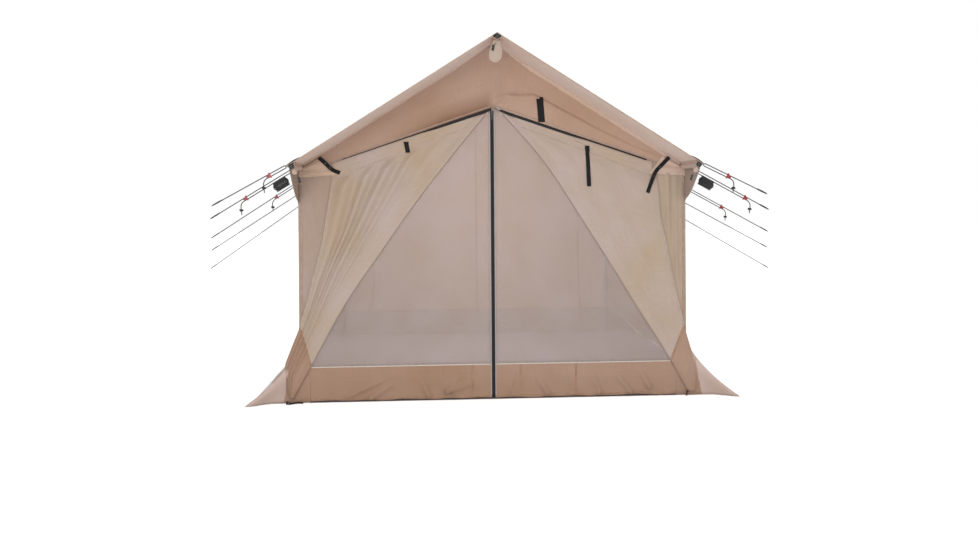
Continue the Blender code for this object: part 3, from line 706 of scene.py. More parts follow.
def lay_cloth(name, place, across, along, finish, thickness=canvas, leave_out=None):
    """A grid of across by along cells, laid by place(u, v), with its thickness.

    finish is a material, or a list of them with a rule (u, v) -> index as the last item. Cells whose
    middle leave_out(point) names are cut away.
    """
    bpy.ops.object.select_all(action="DESELECT")
    bpy.ops.mesh.primitive_grid_add(x_subdivisions=across, y_subdivisions=along, size=1)
    piece = bpy.context.object
    piece.name = name
    mesh = piece.data
    shares = [(vertex.co.x + 0.5, vertex.co.y + 0.5) for vertex in mesh.vertices]
    for vertex, (u, v) in zip(mesh.vertices, shares):
        vertex.co = place(min(max(u, 0.0), 1.0), min(max(v, 0.0), 1.0))
    wide, long = sheet_size(place)
    for corner in mesh.uv_layers.active.data:
        corner.uv = (corner.uv.x * wide, corner.uv.y * long)
    *finishes, rule = finish if isinstance(finish, list) else [finish, None]
    for material in finishes:
        mesh.materials.append(material)
    if rule:
        for face in mesh.polygons:
            corners = [shares[index] for index in face.vertices]
            u, v = (sum(values) / len(corners) for values in zip(*corners))
            face.material_index = rule(u, v)
    if leave_out:
        shape = bmesh.new()
        shape.from_mesh(mesh)
        cut = [face for face in shape.faces if leave_out(face.calc_center_median())]
        bmesh.ops.delete(shape, geom=cut, context="FACES")
        shape.to_mesh(mesh)
        shape.free()
    bpy.ops.object.shade_smooth()
    thicken = piece.modifiers.new("thickness", "SOLIDIFY")
    thicken.thickness = thickness
    thicken.offset = 0.0
    apply_modifiers(piece)
    return piece


def hang(piece, place, body, nodes):
    if body:
        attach(piece, body)
    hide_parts(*nodes)
    width, length = sheet_size(place)
    area = sheet_area(place)
    width = max(width, area / length)
    print(f"{piece.name}: {width:.2f} by {length:.2f} m, {area:.2f} m2, {len(piece.data.polygons)} faces")


def strip(name, path, width, wide, finish, body, thickness=0.0012, across=4):
    """A flat tape along a path of points, wide across a direction."""
    last = len(path) - 1

    def place(u, v):
        index = min(int(v * last), last - 1)
        point = path[index].lerp(path[index + 1], v * last - index)
        direction = wide(v) if callable(wide) else wide
        broad = width(v) if callable(width) else width
        return point + direction * broad * (u - 0.5)

    made = lay_cloth(name, place, across, last, finish, thickness)
    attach(made, body)
    return made


def point_and_normal(place, u, v, outside):
    """A point of a panel and the direction square to it, on the side that outside tells."""
    step = 0.004
    over = place(min(u + step, 1.0), v) - place(max(u - step, 0.0), v)
    up = place(u, min(v + step, 1.0)) - place(u, max(v - step, 0.0))
    normal = over.cross(up).normalized()
    return place(u, v), -normal if normal.dot(outside) < 0 else normal


def seam_on(name, place, route, finish, body, outside, steps=80, width=seam_width):
    """A felled seam that lies on a panel along a route of (u, v) points.

    outside is a vector that tells the panel's outer face from its inner one.
    """
    points = []
    for index in range(steps + 1):
        position = index / steps * (len(route) - 1)
        first = min(int(position), len(route) - 2)
        u = blend(route[first][0], route[first + 1][0], position - first)
        v = blend(route[first][1], route[first + 1][1], position - first)
        here, normal = point_and_normal(place, u, v, outside)
        points.append((here + normal * felled_lift, normal))

    def lay(u, v):
        position = v * steps
        first = min(int(position), steps - 1)
        start, end = points[first], points[first + 1]
        point = start[0].lerp(end[0], position - first)
        normal = start[1].lerp(end[1], position - first)
        side = (end[0] - start[0]).cross(normal).normalized()
        return point + side * width * (u - 0.5)

    made = lay_cloth(name, lay, 4, steps, finish, felled_thickness)
    if body:
        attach(made, body)
    return made


# %% [markdown]
# The roof is one sheet over the ridge, cut here into its two slopes. It sags a little between the two
# end frames, is pulled at each guy line, and runs forward past the front wall as a porch. The slack is
# drawn with soft noise. Seams run up the slope where one width of cloth, 0.95 metres, meets the next.
# The sky shines through the thin cloth, so its inner face looks paler: that light is painted into a paler
# finish of its own on the faces that look down.

# %% Roof
guy_pull = 0.006
guy_pull_reach = 0.4
roof_edge_ease = 0.1
roof_eave_ease = 0.12
cloth_width = 0.95
first_seam = 0.08
ridge_band = 0.05
roof_slack = 0.005


def roof_place(sign):
    """The rule that lays one slope of the roof."""

    def place(u, v):
        x = blend(0.0006, roof_reach, u)
        y = blend(roof_front_y, roof_rear_y, v)
        slack = math.sin(math.pi * min(x / leg_x, 1.0)) * math.sin(math.pi * inside_share(y))
        wave = ripple(sign * x, y, 0, 0.5, 3.0) * 0.5 + ripple(sign * x, y, 0, 0.16, 7.0) * 0.22
        free = min(1.0, (roof_reach - x) / roof_eave_ease)
        for from_edge in (x, y - roof_front_y, roof_rear_y - y):
            free *= min(1.0, from_edge / roof_edge_ease)
        near_guy = min(abs(y - row) for row in guy_rows)
        scallop = guy_pull * soft(x / roof_reach * 3 - 2) * soft(near_guy / guy_pull_reach)
        lift = -roof_sag * slack - roof_slack * (0.5 + 0.5 * wave) * free
        return Vector((sign * (x - scallop * 0.5), y, roof_z(x) + lift - scallop * 0.25))

    return place


for side, sign in sides:
    place = roof_place(sign)
    up = Vector((sign * 0.5, 0, 1))
    roof_length = roof_rear_y - roof_front_y
    routes = []
    for index in range(4):
        v = (front_y + first_seam + cloth_width * index - roof_front_y) / roof_length
        routes.append((f"roof_seam_{side}_{index + 1}", ((0.03, v), (0.995, v)), up))
    u, v = ridge_band / roof_reach, 0.012 / roof_length
    routes.append((f"ridge_seam_{side}", ((u, 0.001), (u, 0.999)), up))
    routes.append((f"roof_front_hem_{side}", ((0.01, v), (0.995, v)), -up))
    seams = [seam_on(name, place, route, roof_seam, "tent", outside) for name, route, outside in routes]
    piece = lay_cloth(f"roof_slope_{side}", place, 64, 150, roof_canvas)
    # Painted light: the faces that look down get the paler finish, for the sky shining through the cloth.
    piece.data.materials.append(roof_inner_painted_light)
    for face in piece.data.polygons:
        face.material_index = 1 if face.normal.z < 0 else 0
    hang(piece, place, "tent", [f"roof_{side}"])

# %% [markdown]
# The gable closes the front above the door. Its slanted hem is doubled and stiff. On the left it curls
# forward over the zip below it. On the right a second strip, the zip's rain cover, is caught up by the
# strap and stands away from the cloth. At the top a flange of the roof's paler cloth is folded down
# along the slope, and over the door's head a soft roll of cloth crosses from left to right.

# %% Gable
gable_bulge = 0.006
curl_depth = 0.026
curl_rise = 0.055
cover_top = ((0.03, 0.0), (0.11, 0.108), (0.25, 0.165), (0.66, 0.085), (0.9, 0.05), (1.2, 0.04))
flange_drop = {"left": 0.012, "right": 0.022}
pole_clear = 0.0165
roll_line = ((-0.03, 1.848), (0.04, 1.896), (0.125, 1.914))
roll_height = 0.014
roll_width = 0.016
gable_half_width = half_width - canvas


def from_line(x, z, start, end):
    """Distance of a point from a short line, and how far along the line it is."""
    run_x, run_z = end[0] - start[0], end[1] - start[1]
    share = ((x - start[0]) * run_x + (z - start[1]) * run_z) / (run_x**2 + run_z**2)
    share = min(max(share, 0.0), 1.0)
    return math.hypot(x - start[0] - share * run_x, z - start[1] - share * run_z), share


def gable_top_z(x):
    """Upper edge of the gable, under the roof and round the ridge pole."""
    round_pole = pole_radius + seat
    if abs(x) < round_pole:
        return ridge_axis_z - math.sqrt(round_pole**2 - x**2) - seat
    return under_roof(x)


def gable_forward(x, z, up):
    """How far the gable's cloth stands forward of its seam line; up is the share from hem to roof."""
    above = z - hem_z(x)
    tent_edge = soft((leg_x - abs(x)) / 0.3)
    belly = gable_bulge * math.sin(math.pi * up) * tent_edge
    left = soft((x + 0.95) / 0.5) * (1 - soft(x / 0.08))
    curl = curl_depth * left * soft(above / curl_rise) * (1 - soft((above - curl_rise) / 0.16))
    top = along_table(cover_top, x)
    right = soft((x - 0.03) / 0.06)
    high = blend(0.016, 0.005, soft((x - 0.3) / 0.6))
    cover = high * right * (1 - soft((above - top + 0.010) / 0.022))
    cover *= blend(0.45, 1.0, soft(above / max(top, 0.02)))
    slack = 0.0030 * ripple(x, z * 2.2 + x * 0.6, 0, 0.30, 5.0) * tent_edge
    slack += 0.0010 * ripple(x + z, z - x, 0, 0.1, 9.0) * tent_edge
    roll = min(from_line(x, z, start, end)[0] for start, end in zip(roll_line, roll_line[1:]))
    roll = roll_height * math.exp(-((roll / roll_width) ** 2)) * soft((0.16 - x) / 0.06)
    return max(belly + curl + cover + roll + slack * soft(above / 0.05), 0.0)


def gable_place(u, v):
    """The rule that lays the gable, from its hem up to the roof."""
    x = blend(-1, 1, u) * gable_half_width
    z = blend(hem_z(x), gable_top_z(x), v)
    return Vector((x, front_y - gable_forward(x, z, v), z))


def gable_rule(u, v):
    """Roof cloth for the flange along the slope, wall cloth below it."""
    x = blend(-1, 1, u) * gable_half_width
    side = "left" if x < 0 else "right"
    drop = flange_drop[side] * soft(abs(x) / 0.25) / math.cos(pitch_angle)
    return 1 if gable_top_z(x) - gable_place(u, v).z < drop else 0


def by_eave_pole(point):
    """Whether a point lies where the eave pole passes through the wall."""
    return math.hypot(abs(point.x) - leg_x, point.z - eave_axis_z) < pole_clear


front = Vector((0, -1, 0))
hem_seam = seam_on("gable_hem_seam", gable_place, ((0.02, 0.06), (0.5, 0.03), (0.98, 0.06)), sand_seam,
                   "tent", front, 160, 0.010)
piece = lay_cloth("gable_panel", gable_place, 220, 60, [gable_canvas, roof_canvas, gable_rule],
                  leave_out=by_eave_pole)
hang(piece, gable_place, "tent", ["gable_front"])

# %% [markdown]
# The front wall beside the door, the side walls and the rear wall are plain panels of the same canvas.
# The lowest band, as high as a hand, is tougher coated cloth: the sod cloth, which turns outwards and
# lies on the grass. At the front corners its free ends run out along the ground in a point.

# %% Walls
band_height = 0.225
side_band_share = 0.3
rear_band_share = 0.25
sod_corner_run = 0.30
sod_corner_forward = 0.10
sod_tail = 0.045
rear_foot = 0.0009
rear_half_width = half_width - canvas / 2 - seat
seam_tuck = 0.0012


def banded(v, share, foot, seam, top):
    """Height at v of a panel whose lowest rows, a share of them all, lie below its seam."""
    return blend(foot, seam, v / share) if v < share else blend(seam, top, (v - share) / (1 - share))


def side_place(sign):
    """The rule that lays a side wall, its sod cloth and the ear under the porch roof."""
    top_z = under_roof(half_width + canvas / 2)
    ear_start = top_z - ear_depth

    def place(u, v):
        z = banded(v, side_band_share, hem_lift, band_height, top_z)
        ear = ear_reach * max(0.0, (z - ear_start) / ear_depth) ** ear_power
        y = blend(front_y - canvas / 2 - ear, rear_y + canvas / 2, u)
        inside = inside_share(y)
        spread = flare(z) / sod_reach
        wave = sod_ripple * math.sin(math.pi * 9 * inside) * spread
        wave += 0.5 * sod_ripple * ripple(0, y, 0, 0.16, 2.0 + sign) * spread
        bulge = wall_bulge * math.sin(math.pi * inside) * math.sin(math.pi * z / top_z)
        held = soft(inside / 0.06) * soft((1 - inside) / 0.06) * soft((top_z - z) / 0.12)
        slack = 0.009 * ripple(y * 1.5, z * 0.35, 0, 0.3, 11.0 + sign)
        slack += 0.004 * ripple(y, z * 0.5, 0, 0.1, 13.0 + sign)
        corner = soft(1 - (y - front_y) / sod_corner_run)
        tail = sod_tail * spread**3 * corner
        wave *= soft(inside * 5) * soft((1 - inside) * 12)
        x = half_width + flare(z) + wave + bulge + slack * held + tail
        lift = 0.003 * spread * (1 + ripple(0, y, 0, 0.12, 17.0 + sign)) * soft(inside * 5)
        return Vector((sign * x, y - sod_corner_forward * spread**1.5 * corner, z + lift))

    return place


for side, sign in sides:
    place = side_place(sign)
    low = side_band_share
    routes = [(f"side_band_seam_{side}", ((0.004, low), (0.996, low)), 120)]
    for index in range(1, 4):
        u = (first_seam + cloth_width * index) / tent_length
        routes.append((f"side_seam_{side}_{index}", ((u, low), (u, 0.985)), 80))
    seams = [seam_on(name, place, route, sand_seam, "tent", Vector((sign, 0, 0.2)), steps)
             for name, route, steps in routes]
    piece = lay_cloth(f"side_wall_cloth_{side}", place, 150, 100,
                      [sand_canvas, sod_canvas, lambda u, v: 1 if v < side_band_share else 0])
    hang(piece, place, "tent", [f"side_wall_{side}"])


def rear_place(u, v):
    """The rule that lays the rear wall; a quarter of its rows make the band at its foot."""
    share = 2 * u - 1
    top = under_roof(share * rear_half_width)
    z = banded(v, rear_band_share, rear_foot, band_height, top)
    edge_z = banded(v, rear_band_share, rear_foot, band_height, under_roof(rear_half_width))
    widened = corner_x(edge_z) + seam_tuck - rear_half_width
    x = share * rear_half_width + widened * share * abs(share) ** 3
    height = (z - hem_lift) / (top - hem_lift)
    held = (1 - abs(share) ** 6) * max(math.sin(math.pi * height), 0.0) ** 0.5
    slack = 0.006 * math.sin(math.pi * 3 * share) ** 2 * math.sin(math.pi * height)
    slack += 0.008 * (0.5 + 0.5 * ripple(x * 1.4, z * 0.35, 0, 0.32, 21.0)) * held
    return Vector((x, rear_y + slack, z))


for outward in (-1, 1):
    facing = Vector((0, outward, 0))
    label = "inside" if outward < 0 else "outside"
    low = rear_band_share
    for index, x in enumerate((-cloth_width, 0.0, cloth_width)):
        u = (x / rear_half_width + 1) / 2
        seam_on(f"rear_seam_{label}_{index + 1}", rear_place, ((u, low), (u, 0.985)),
                                  rear_seam, "tent", facing)
    seam_on(f"rear_band_seam_{label}", rear_place, ((0.01, low), (0.99, low)), sand_seam,
                              "tent", facing, 100)
piece = lay_cloth("rear_wall_cloth", rear_place, 130, 90,
                  [rear_canvas, rear_band_cloth, lambda u, v: 1 if v < rear_band_share else 0])
hang(piece, rear_place, "tent", ["rear_wall"])

# %% [markdown]
# The front is two layers. A fixed panel runs from the slanted fold out to the corner, and the storm
# flap, one sheet with it, is folded back over it. At the fold the cloth rolls over softly. A row of
# stitches gathers its head, and from there long soft folds run down and together to the foot. The
# flap's own brown foot is turned over with it, and bulges past the corner of the tent.

# %% Front panels
leaf_lap = 0.012
tip_x = half_width - flap_corner_inset
tip_z = hem_z(tip_x) - flap_corner_drop
flap_edge = {
    "left": ((1.012, 1.441), (1.026, 1.310), (1.051, 1.162), (1.073, 1.013), (1.112, 0.858),
             (1.140, 0.753), (1.165, 0.642), (1.216, 0.475), (1.262, 0.36), (1.305, 0.25),
             (1.312, 0.20), (1.300, 0.10), (1.277, 0.033)),
    "right": ((1.030, 1.437), (1.052, 1.300), (1.060, 1.143), (1.088, 1.020), (1.112, 0.901),
              (1.134, 0.780), (1.156, 0.665), (1.206, 0.442), (1.245, 0.31), (1.278, 0.207),
              (1.283, 0.109), (1.276, 0.03)),
}
panel_fold_pitch = 0.052
panel_fold_start = 1.03
panel_fold_depth = {"left": 0.0015, "right": 0.016}
corner_seam_inset = 0.016


def edge_x_at(side, z):
    """How far out the folded flap reaches at a height."""
    return along_table([(-height, x) for x, height in flap_edge[side]], -z)


def panel_place(side, sign):
    """The rule that lays the fixed layer of the front, from the fold to the corner."""
    top = hem_z(half_width) - seat

    def place(u, v):
        height = banded(v, side_band_share, hem_lift, sod_height, top)
        share = (top - height) / (top - hem_lift)
        x, z = fold_line(side, share)
        x = min(x, leaf_outer - leaf_lap)
        if v <= 0:
            z = hem_lift
        if v >= 1:
            z = hem_z(x) - seat
        outer = corner_x(height) + seam_tuck
        across = blend(x, outer, u)
        up = blend(z, height, u)
        spread = flare(height) / sod_reach
        apron = soft((across - outer + 0.2) / 0.2)
        forward = sod_corner_forward * spread**1.5 * apron**2
        clear = soft((across - edge_x_at(side, up) - 0.01) / 0.03) * soft((1 - u) * 8)
        phase = (across - panel_fold_start) / panel_fold_pitch
        folds = panel_fold_depth[side] * (0.5 - 0.5 * math.cos(2 * math.pi * phase)) * soft((up - 0.3) / 0.3)
        slack = 0.002 * (1 + ripple(across * 1.8, up * 0.5, 0, 0.25, 31.0 + sign))
        across += sod_tail * spread**3 * apron
        return Vector((sign * across, front_y - forward - (folds + slack) * clear, up))

    def rule(u, v):
        """Wall canvas, brown cloth at the foot, and paler sod cloth where it runs out past the corner."""
        point = place(u, v)
        if point.z >= band_height:
            return 0
        return 2 if abs(point.x) > half_width + 0.055 + 0.2 * (band_height - point.z) else 1

    return place, rule


for side, sign in sides:
    place, rule = panel_place(side, sign)
    route = []
    for step in range(13):
        v = blend(0.32, 0.95, step / 12)
        width = abs(place(1.0, v).x) - abs(place(0.0, v).x)
        route.append((1 - corner_seam_inset / width, v))
    seams = [seam_on(f"front_corner_seam_{side}", place, route, sand_seam, "tent", front)]
    plain = sand_canvas if side == "left" else pale_wall_canvas
    piece = lay_cloth(f"front_wall_{side}", place, 90, 120, [plain, skirt_canvas, sod_canvas, rule])
    hang(piece, place, "tent", [f"front_panel_{side}"])

# %% Storm flaps
fold_ridge_shares = {
    "left": (-0.05, 0.25, 0.41, 0.57, 0.73, 0.89, 1.08),
    "right": (-0.15, 0.22, 0.55, 0.88, 1.2),
}
fold_depth = {"left": 0.029, "right": 0.008}
smooth_part = {"left": 0.45, "right": 0.0}
seam_fold_share = 0.889
seam_edge_share = 0.685
seam_row_share = 0.8
roll_radius = 0.012
stitch_row_share = 0.035
roll_fade = 0.10
foot_bulge = 0.012


def fold_phase(ridges, u):
    """A phase that is whole on each ridge, so that folds can be wide or narrow."""
    for index, (start, end) in enumerate(zip(ridges, ridges[1:])):
        if u <= end:
            return index + (u - start) / (end - start)
    return len(ridges) - 1


def flap_place(side, sign):
    """The rule that lays a storm flap, folded back; its last rows are the brown foot."""
    edge = [Vector((x, 0, z)) for x, z in flap_edge[side]]
    lengths = [0.0]
    for start, end in zip(edge, edge[1:]):
        lengths.append(lengths[-1] + (end - start).length)
    lower = next(index for index, point in enumerate(edge) if point.z < 0.5)

    def edge_point(share):
        """A point of the outer edge; the seam to the foot meets it where the table's foot starts."""
        if share < seam_edge_share:
            goal = lengths[lower] * share / seam_edge_share
        else:
            goal = blend(lengths[lower], lengths[-1], (share - seam_edge_share) / (1 - seam_edge_share))
        for start, end, low, high in zip(edge, edge[1:], lengths, lengths[1:]):
            if goal <= high + 1e-9:
                return start.lerp(end, (goal - low) / (high - low))
        return edge[-1]

    def place(u, v):
        if v < seam_row_share:
            shares = [seam * v / seam_row_share for seam in (seam_fold_share, seam_edge_share)]
        else:
            below_seam = (v - seam_row_share) / (1 - seam_row_share)
            shares = [blend(seam, 1.0, below_seam) for seam in (seam_fold_share, seam_edge_share)]
        share = blend(shares[0], shares[1], u)
        fold_x, fold_z = fold_line(side, shares[0])
        outer = edge_point(shares[1])
        x, z = blend(fold_x, outer.x, u), blend(fold_z, outer.z, u)
        wide = math.hypot(outer.x - fold_x, outer.z - fold_z)
        distance = wide * u
        start = soft((share - stitch_row_share) / 0.05)
        fade = 1 - 0.7 * soft((share - 0.1) / 0.7)
        drift = 0.10 * ripple(u * 1.5, share * 1.3, 0, 0.5, 41.0 + sign)
        phase = fold_phase(fold_ridge_shares[side], min(u + drift * soft(share * 4) * u * (1 - u) * 3, 1.0))
        wave = 0.5 + 0.5 * math.cos(2 * math.pi * phase)
        relief = fold_depth[side] * start * fade * wave * soft(distance / 0.09)
        relief *= blend(0.3, 1.0, soft((u - smooth_part[side] + 0.15) / 0.2))
        near = min(distance / roll_radius, 1.0)
        roll = roll_radius * math.sqrt(max(1 - (1 - near) ** 2, 0.0)) * min(1.0, wide / 0.1)
        roll *= 1 - 0.9 * soft((distance - roll_radius) / roll_fade)
        slack = 0.0025 * (1 + ripple(x * 2.4, z * 0.7, 0, 0.3, 43.0 + sign)) * soft(share / 0.1) * soft(u * 5)
        foot = soft((v - seam_row_share) / 0.06) * max(math.sin(math.pi * u), 0.0) ** 0.6
        creases = 0.004 * (1 + ripple(x * 3 - z, z * 1.2, 0, 0.16, 47.0 + sign)) * foot
        forward = relief + roll + slack + foot_bulge * foot + creases
        return Vector((sign * x, flap_y - canvas / 2 - forward, z))

    return place


for side, sign in sides:
    place = flap_place(side, sign)
    fold_top = Vector((sign * fold_top_inset, flap_y, hem_z(fold_top_inset) - flap_top_drop))
    fold_foot = Vector((sign * (half_width - fold_foot_in), flap_y, flap_foot_height))
    chord = (fold_foot - fold_top).normalized()
    outward = Vector((-chord.z * sign, 0, chord.x * sign))
    piece = lay_cloth(f"storm_flap_cloth_{side}", place, 130, 170,
                      [flap_canvas, skirt_canvas, lambda u, v: 1 if v > seam_row_share else 0])
    row = seam_row_share * stitch_row_share / seam_fold_share
    low = seam_row_share
    seams = [
        seam_on(f"flap_{label}_{side}", place, route, finish, None, front, steps, width)
        for label, route, finish, steps, width in (
            ("stitch_row", ((0.08, row), (0.99, row * 1.35)), flap_seam, 90, 0.008),
            ("foot_seam", ((0.03, low), (0.99, low)), skirt_seam, 80, seam_width),
            ("edge_hem", ((0.985, 0.01), (0.985, 0.79)), flap_seam, 120, 0.012),
        )
    ]
    for part in [piece] + seams:
        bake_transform(part)
    hang(piece, place, None, [f"storm_flap_{side}"])

# %% [markdown]
# Between the gathered head of each flap and the gable's hem a pale strip of the same cloth fills the
# gap, and just under the hem runs a black zip that would close the flap. On the left the gable's curl
# half hides it, and further out the zip's thin black tail is a painted shadow line under the hem.

# %% Flap heads and hem zips
head_inner = 0.035
head_lap = 0.010
head_forward = 0.0016
hem_gap = 0.004
hem_zip_forward = 0.0075
hem_zip_steps = 90
# Widths along each hem; on the left the thin far end, past about 0.45 m, is a painted shadow line under the
# hem.
hem_zip_and_painted_shadow_widths = {
    "left": ((0.015, 0.012), (0.06, 0.017), (0.36, 0.013), (0.46, 0.006), (0.95, 0.003)),
    "right": ((0.036, 0.012), (0.10, 0.018), (0.48, 0.017), (0.60, 0.010), (0.97, 0.009)),
}


def flap_top(x):
    """Height of a storm flap's top edge."""
    start_z = hem_z(fold_top_inset) - flap_top_drop
    return blend(start_z, tip_z, (x - fold_top_inset) / (tip_x - fold_top_inset))


zip_cloth, zip_shader = new_material("black_zip_tape", roughness=0.65, specular=0.3)
zip_flat = add_node(zip_cloth, "TexCoord", output="UV")
zip_knit, zip_teeth = threads(zip_cloth, zip_flat, (0.0012, "DIAGONAL"), (0.0035, "Y"))
zip_tone = add_node(zip_cloth, "ValToRGB", inputs={"Fac": zip_knit},
                    stops=((0.2, linear("0B0A0D")), (0.8, linear("161518"))))
dress(zip_cloth, zip_shader, zip_tone, (zip_knit, 0.4, 0.0003), (zip_teeth, 0.3, 0.0006))

for side, sign in sides:

    def head(u, v):
        """The rule that lays the strip between a flap's head and the gable's hem."""
        x = blend(head_inner, tip_x, u)
        z = blend(flap_top(x) - head_lap, hem_z(x) - hem_gap, v)
        puff = 0.004 * math.sin(math.pi * v) * soft(u * 8) * (1 + ripple(x, 0, 0, 0.12, 71.0 + sign))
        return Vector((sign * x, front_y - head_forward - puff, z))

    piece = lay_cloth(f"flap_head_{side}", head, 90, 12, flap_canvas)
    hang(piece, head, "tent", [])
    table = hem_zip_and_painted_shadow_widths[side]
    start, end = table[0][0], table[-1][0]
    path = []
    for step in range(hem_zip_steps + 1):
        x = blend(start, end, step / hem_zip_steps)
        z = hem_z(x) - along_table(table, x) / 2 - 0.001
        path.append(Vector((sign * x, front_y - hem_zip_forward, z)))
    square = Vector((sign * (hem_z(0) - hem_z(1)), 0, 1)).normalized()
    # On the left the strip's thin far end is a painted shadow line rather than zip.
    strip(f"hem_zip_{side}", path, lambda v: along_table(table, blend(start, end, v)), square, zip_cloth,
          "tent", 0.002, 6)

# %% [markdown]
# The door is two leaves of fine netting over a skirt of tough cloth, joined down the middle by a zip. A
# white tape binds the seam between them. The netting's threads are drawn two millimetres apart, a
# little coarser than real ones. That is still far finer than a dot of the picture, so the rear wall
# shows through it softly.

# %% Netting, skirts and door zip
leaf_top_gap = 0.012
leaf_bottom_gap = 0.012
net_pitch = 0.0022
skirt_lift = 0.003
skirt_hem_wave = 0.009
crease_depth = 0.024
crease_width = 0.018
binding_width = 0.0055
binding_forward = 0.0012
door_tape_width = 0.022
door_edge_aside = 0.0138
skirt_seams = {"left": (0.145,), "right": (0.16, 0.51)}
skirt_creases = {
    "left": (((0.920, 0.037), (0.548, 0.207)), ((0.304, 0.054), (0.141, 0.102)),
             ((0.304, 0.054), (0.240, 0.130)), ((0.78, 0.02), (0.66, 0.10)), ((0.42, 0.03), (0.47, 0.15))),
    "right": (((0.66, 0.03), (0.60, 0.20)), ((0.33, 0.03), (0.26, 0.14)), ((0.86, 0.03), (0.74, 0.18)),
              ((0.08, 0.05), (0.12, 0.17)), ((0.98, 0.06), (0.90, 0.20))),
}

netting, netting_shader = new_material("insect_netting", roughness=0.85, specular=0.1)
net_flat = add_node(netting, "TexCoord", output="UV")
net_warp, net_weft = threads(netting, net_flat, (net_pitch, "X"), (net_pitch, "Y"))
net_threads = add_node(netting, "Mix", lighter_of, {0: 1.0, 6: net_warp, 7: net_weft}, output=2)
net_cover = add_node(netting, "ValToRGB", inputs={"Fac": net_threads},
                     stops=((0.35, grey(0.18)), (0.9, grey(0.58))))
netting.node_tree.links.new(net_cover, netting_shader.inputs["Alpha"])
net_dye = add_node(netting, "TexNoise", inputs={"Vector": net_flat, "Scale": 1 / 0.2}, output="Fac")
net_tone = add_node(netting, "ValToRGB", inputs={"Fac": net_dye},
                    stops=((0.35, linear("B8A8A0")), (0.65, linear("BDAEA9"))))
dress(netting, netting_shader, net_tone)


def tape_finish(name, roughness, light, dark):
    """Knitted tape with a little soil in it."""
    made, shader = new_material(name, roughness)
    flat = add_node(made, "TexCoord", output="UV")
    (knit,) = threads(made, flat, (0.0014, "DIAGONAL"))
    inputs = {"Vector": flat, "Scale": 1 / 0.02, "Detail": 3.0}
    soil = add_node(made, "TexNoise", inputs=inputs, output="Fac")
    rows = add_node(made, "ValToRGB", inputs={"Fac": knit}, stops=((0.1, grey(0.93)), (0.6, grey(1.0))))
    tone = add_node(made, "ValToRGB", inputs={"Fac": soil},
                    stops=((0.35, linear(dark)), (0.6, linear(light))))
    tone = add_node(made, "Mix", multiplied, {0: 1.0, 6: rows, 7: tone}, output=2)
    dress(made, shader, tone, (knit, 0.4, 0.0003))
    return made


binding = tape_finish("white_binding_tape", 0.8, "D3CBC3", "C4BBB2")
pale_tape = tape_finish("grey_zip_edge_tape", 0.85, "ABA4A4", "9C9596")


def net_rule(sign, inner):
    """The rule that lays a netting leaf."""

    def place(u, v):
        x = blend(inner, leaf_outer, u)
        z = blend(skirt_height + seat, hem_z(x) - leaf_top_gap, v)
        slack = 0.006 * ripple(x * 1.2, z * 0.6, 0, 0.5, 51.0 + sign) * math.sin(math.pi * u) * soft(v * 5)
        return Vector((sign * x, leaf_y + max(slack, 0.0), z))

    return place


def skirt_rule(side, sign, inner):
    """The rule that lays a skirt, which hangs a little wavy between its creases."""

    def place(u, v):
        x = blend(inner, leaf_outer, u)
        hem = leaf_bottom_gap - skirt_lift + skirt_hem_wave * ripple(x, 0, 0, 0.16, 61.0 + sign)
        z = blend(hem, skirt_height, v)
        loose = soft((1 - v) * 1.4) * soft(u * 6) * soft((1 - u) * 6)
        folds = 0.012 * ripple(x + z * 0.8 * sign, z * 0.35, 0, 0.14, 63.0 + sign)
        folds += 0.002 * ripple(x - z, z, 0, 0.05, 65.0 + sign)
        for start, end in skirt_creases[side]:
            distance, share = from_line(x, z, start, end)
            folds -= crease_depth * math.exp(-((distance / crease_width) ** 2)) * (1 - 0.5 * share)
        return Vector((sign * x, leaf_y + (folds + 0.005) * loose, z))

    return place


for side, sign in sides:
    inner = zip_width + 2 * seat if side == "left" else seat
    body = f"door_leaf_{side}"
    place = net_rule(sign, inner)
    piece = lay_cloth(f"netting_{side}", place, 40, 60, netting, 0.0004)
    hang(piece, place, body, [f"mesh_leaf_{side}"])
    place = skirt_rule(side, sign, inner)
    seams = []
    for index, x in enumerate(skirt_seams[side]):
        u = (x - inner) / (leaf_outer - inner)
        route = ((u, 0.03), (u, 0.97))
        seams.append(seam_on(f"skirt_seam_{side}_{index + 1}", place, route, skirt_seam, body, front, 24))
    route = ((0.01, 0.06), (0.99, 0.06))
    seams.append(seam_on(f"skirt_hem_{side}", place, route, skirt_seam, body, front, 120, 0.009))
    piece = lay_cloth(f"skirt_cloth_{side}", place, 150, 30, skirt_canvas, 0.0012)
    hang(piece, place, body, [f"leaf_skirt_{side}"])
    ends = [Vector((sign * x, leaf_y - binding_forward, skirt_height)) for x in (inner, leaf_outer)]
    path = [blend(*ends, step / 30) for step in range(31)]
    strip(f"skirt_binding_{side}", path, binding_width, Vector((0, 0, 1)), binding, body)

zip_top = hem_z(zip_width) - leaf_top_gap
zip_middle = -zip_width / 2 - seat
ends = [Vector((zip_middle, leaf_y - 0.0006, z)) for z in (leaf_bottom_gap, zip_top)]
zip_line = [blend(*ends, step / 60) for step in range(61)]
across_x = Vector((1, 0, 0))
piece = strip("door_zip_tape", zip_line, door_tape_width, across_x, zip_cloth,
              "door_leaf_left", 0.001)
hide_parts("zip_tape")
for side, sign in sides:
    path = [point + Vector((sign * door_edge_aside, -0.0004, 0)) for point in zip_line]
    strip(f"door_zip_edge_{side}", path, binding_width, across_x, pale_tape,
          "door_leaf_left", 0.0012)

# %% [markdown]
# The zip's coil is one long spiral of nylon, nearly seven millimetres wide, sewn down the middle of
# its tape. Its turns are drawn coarser than real ones, with few faces, because there are hundreds.

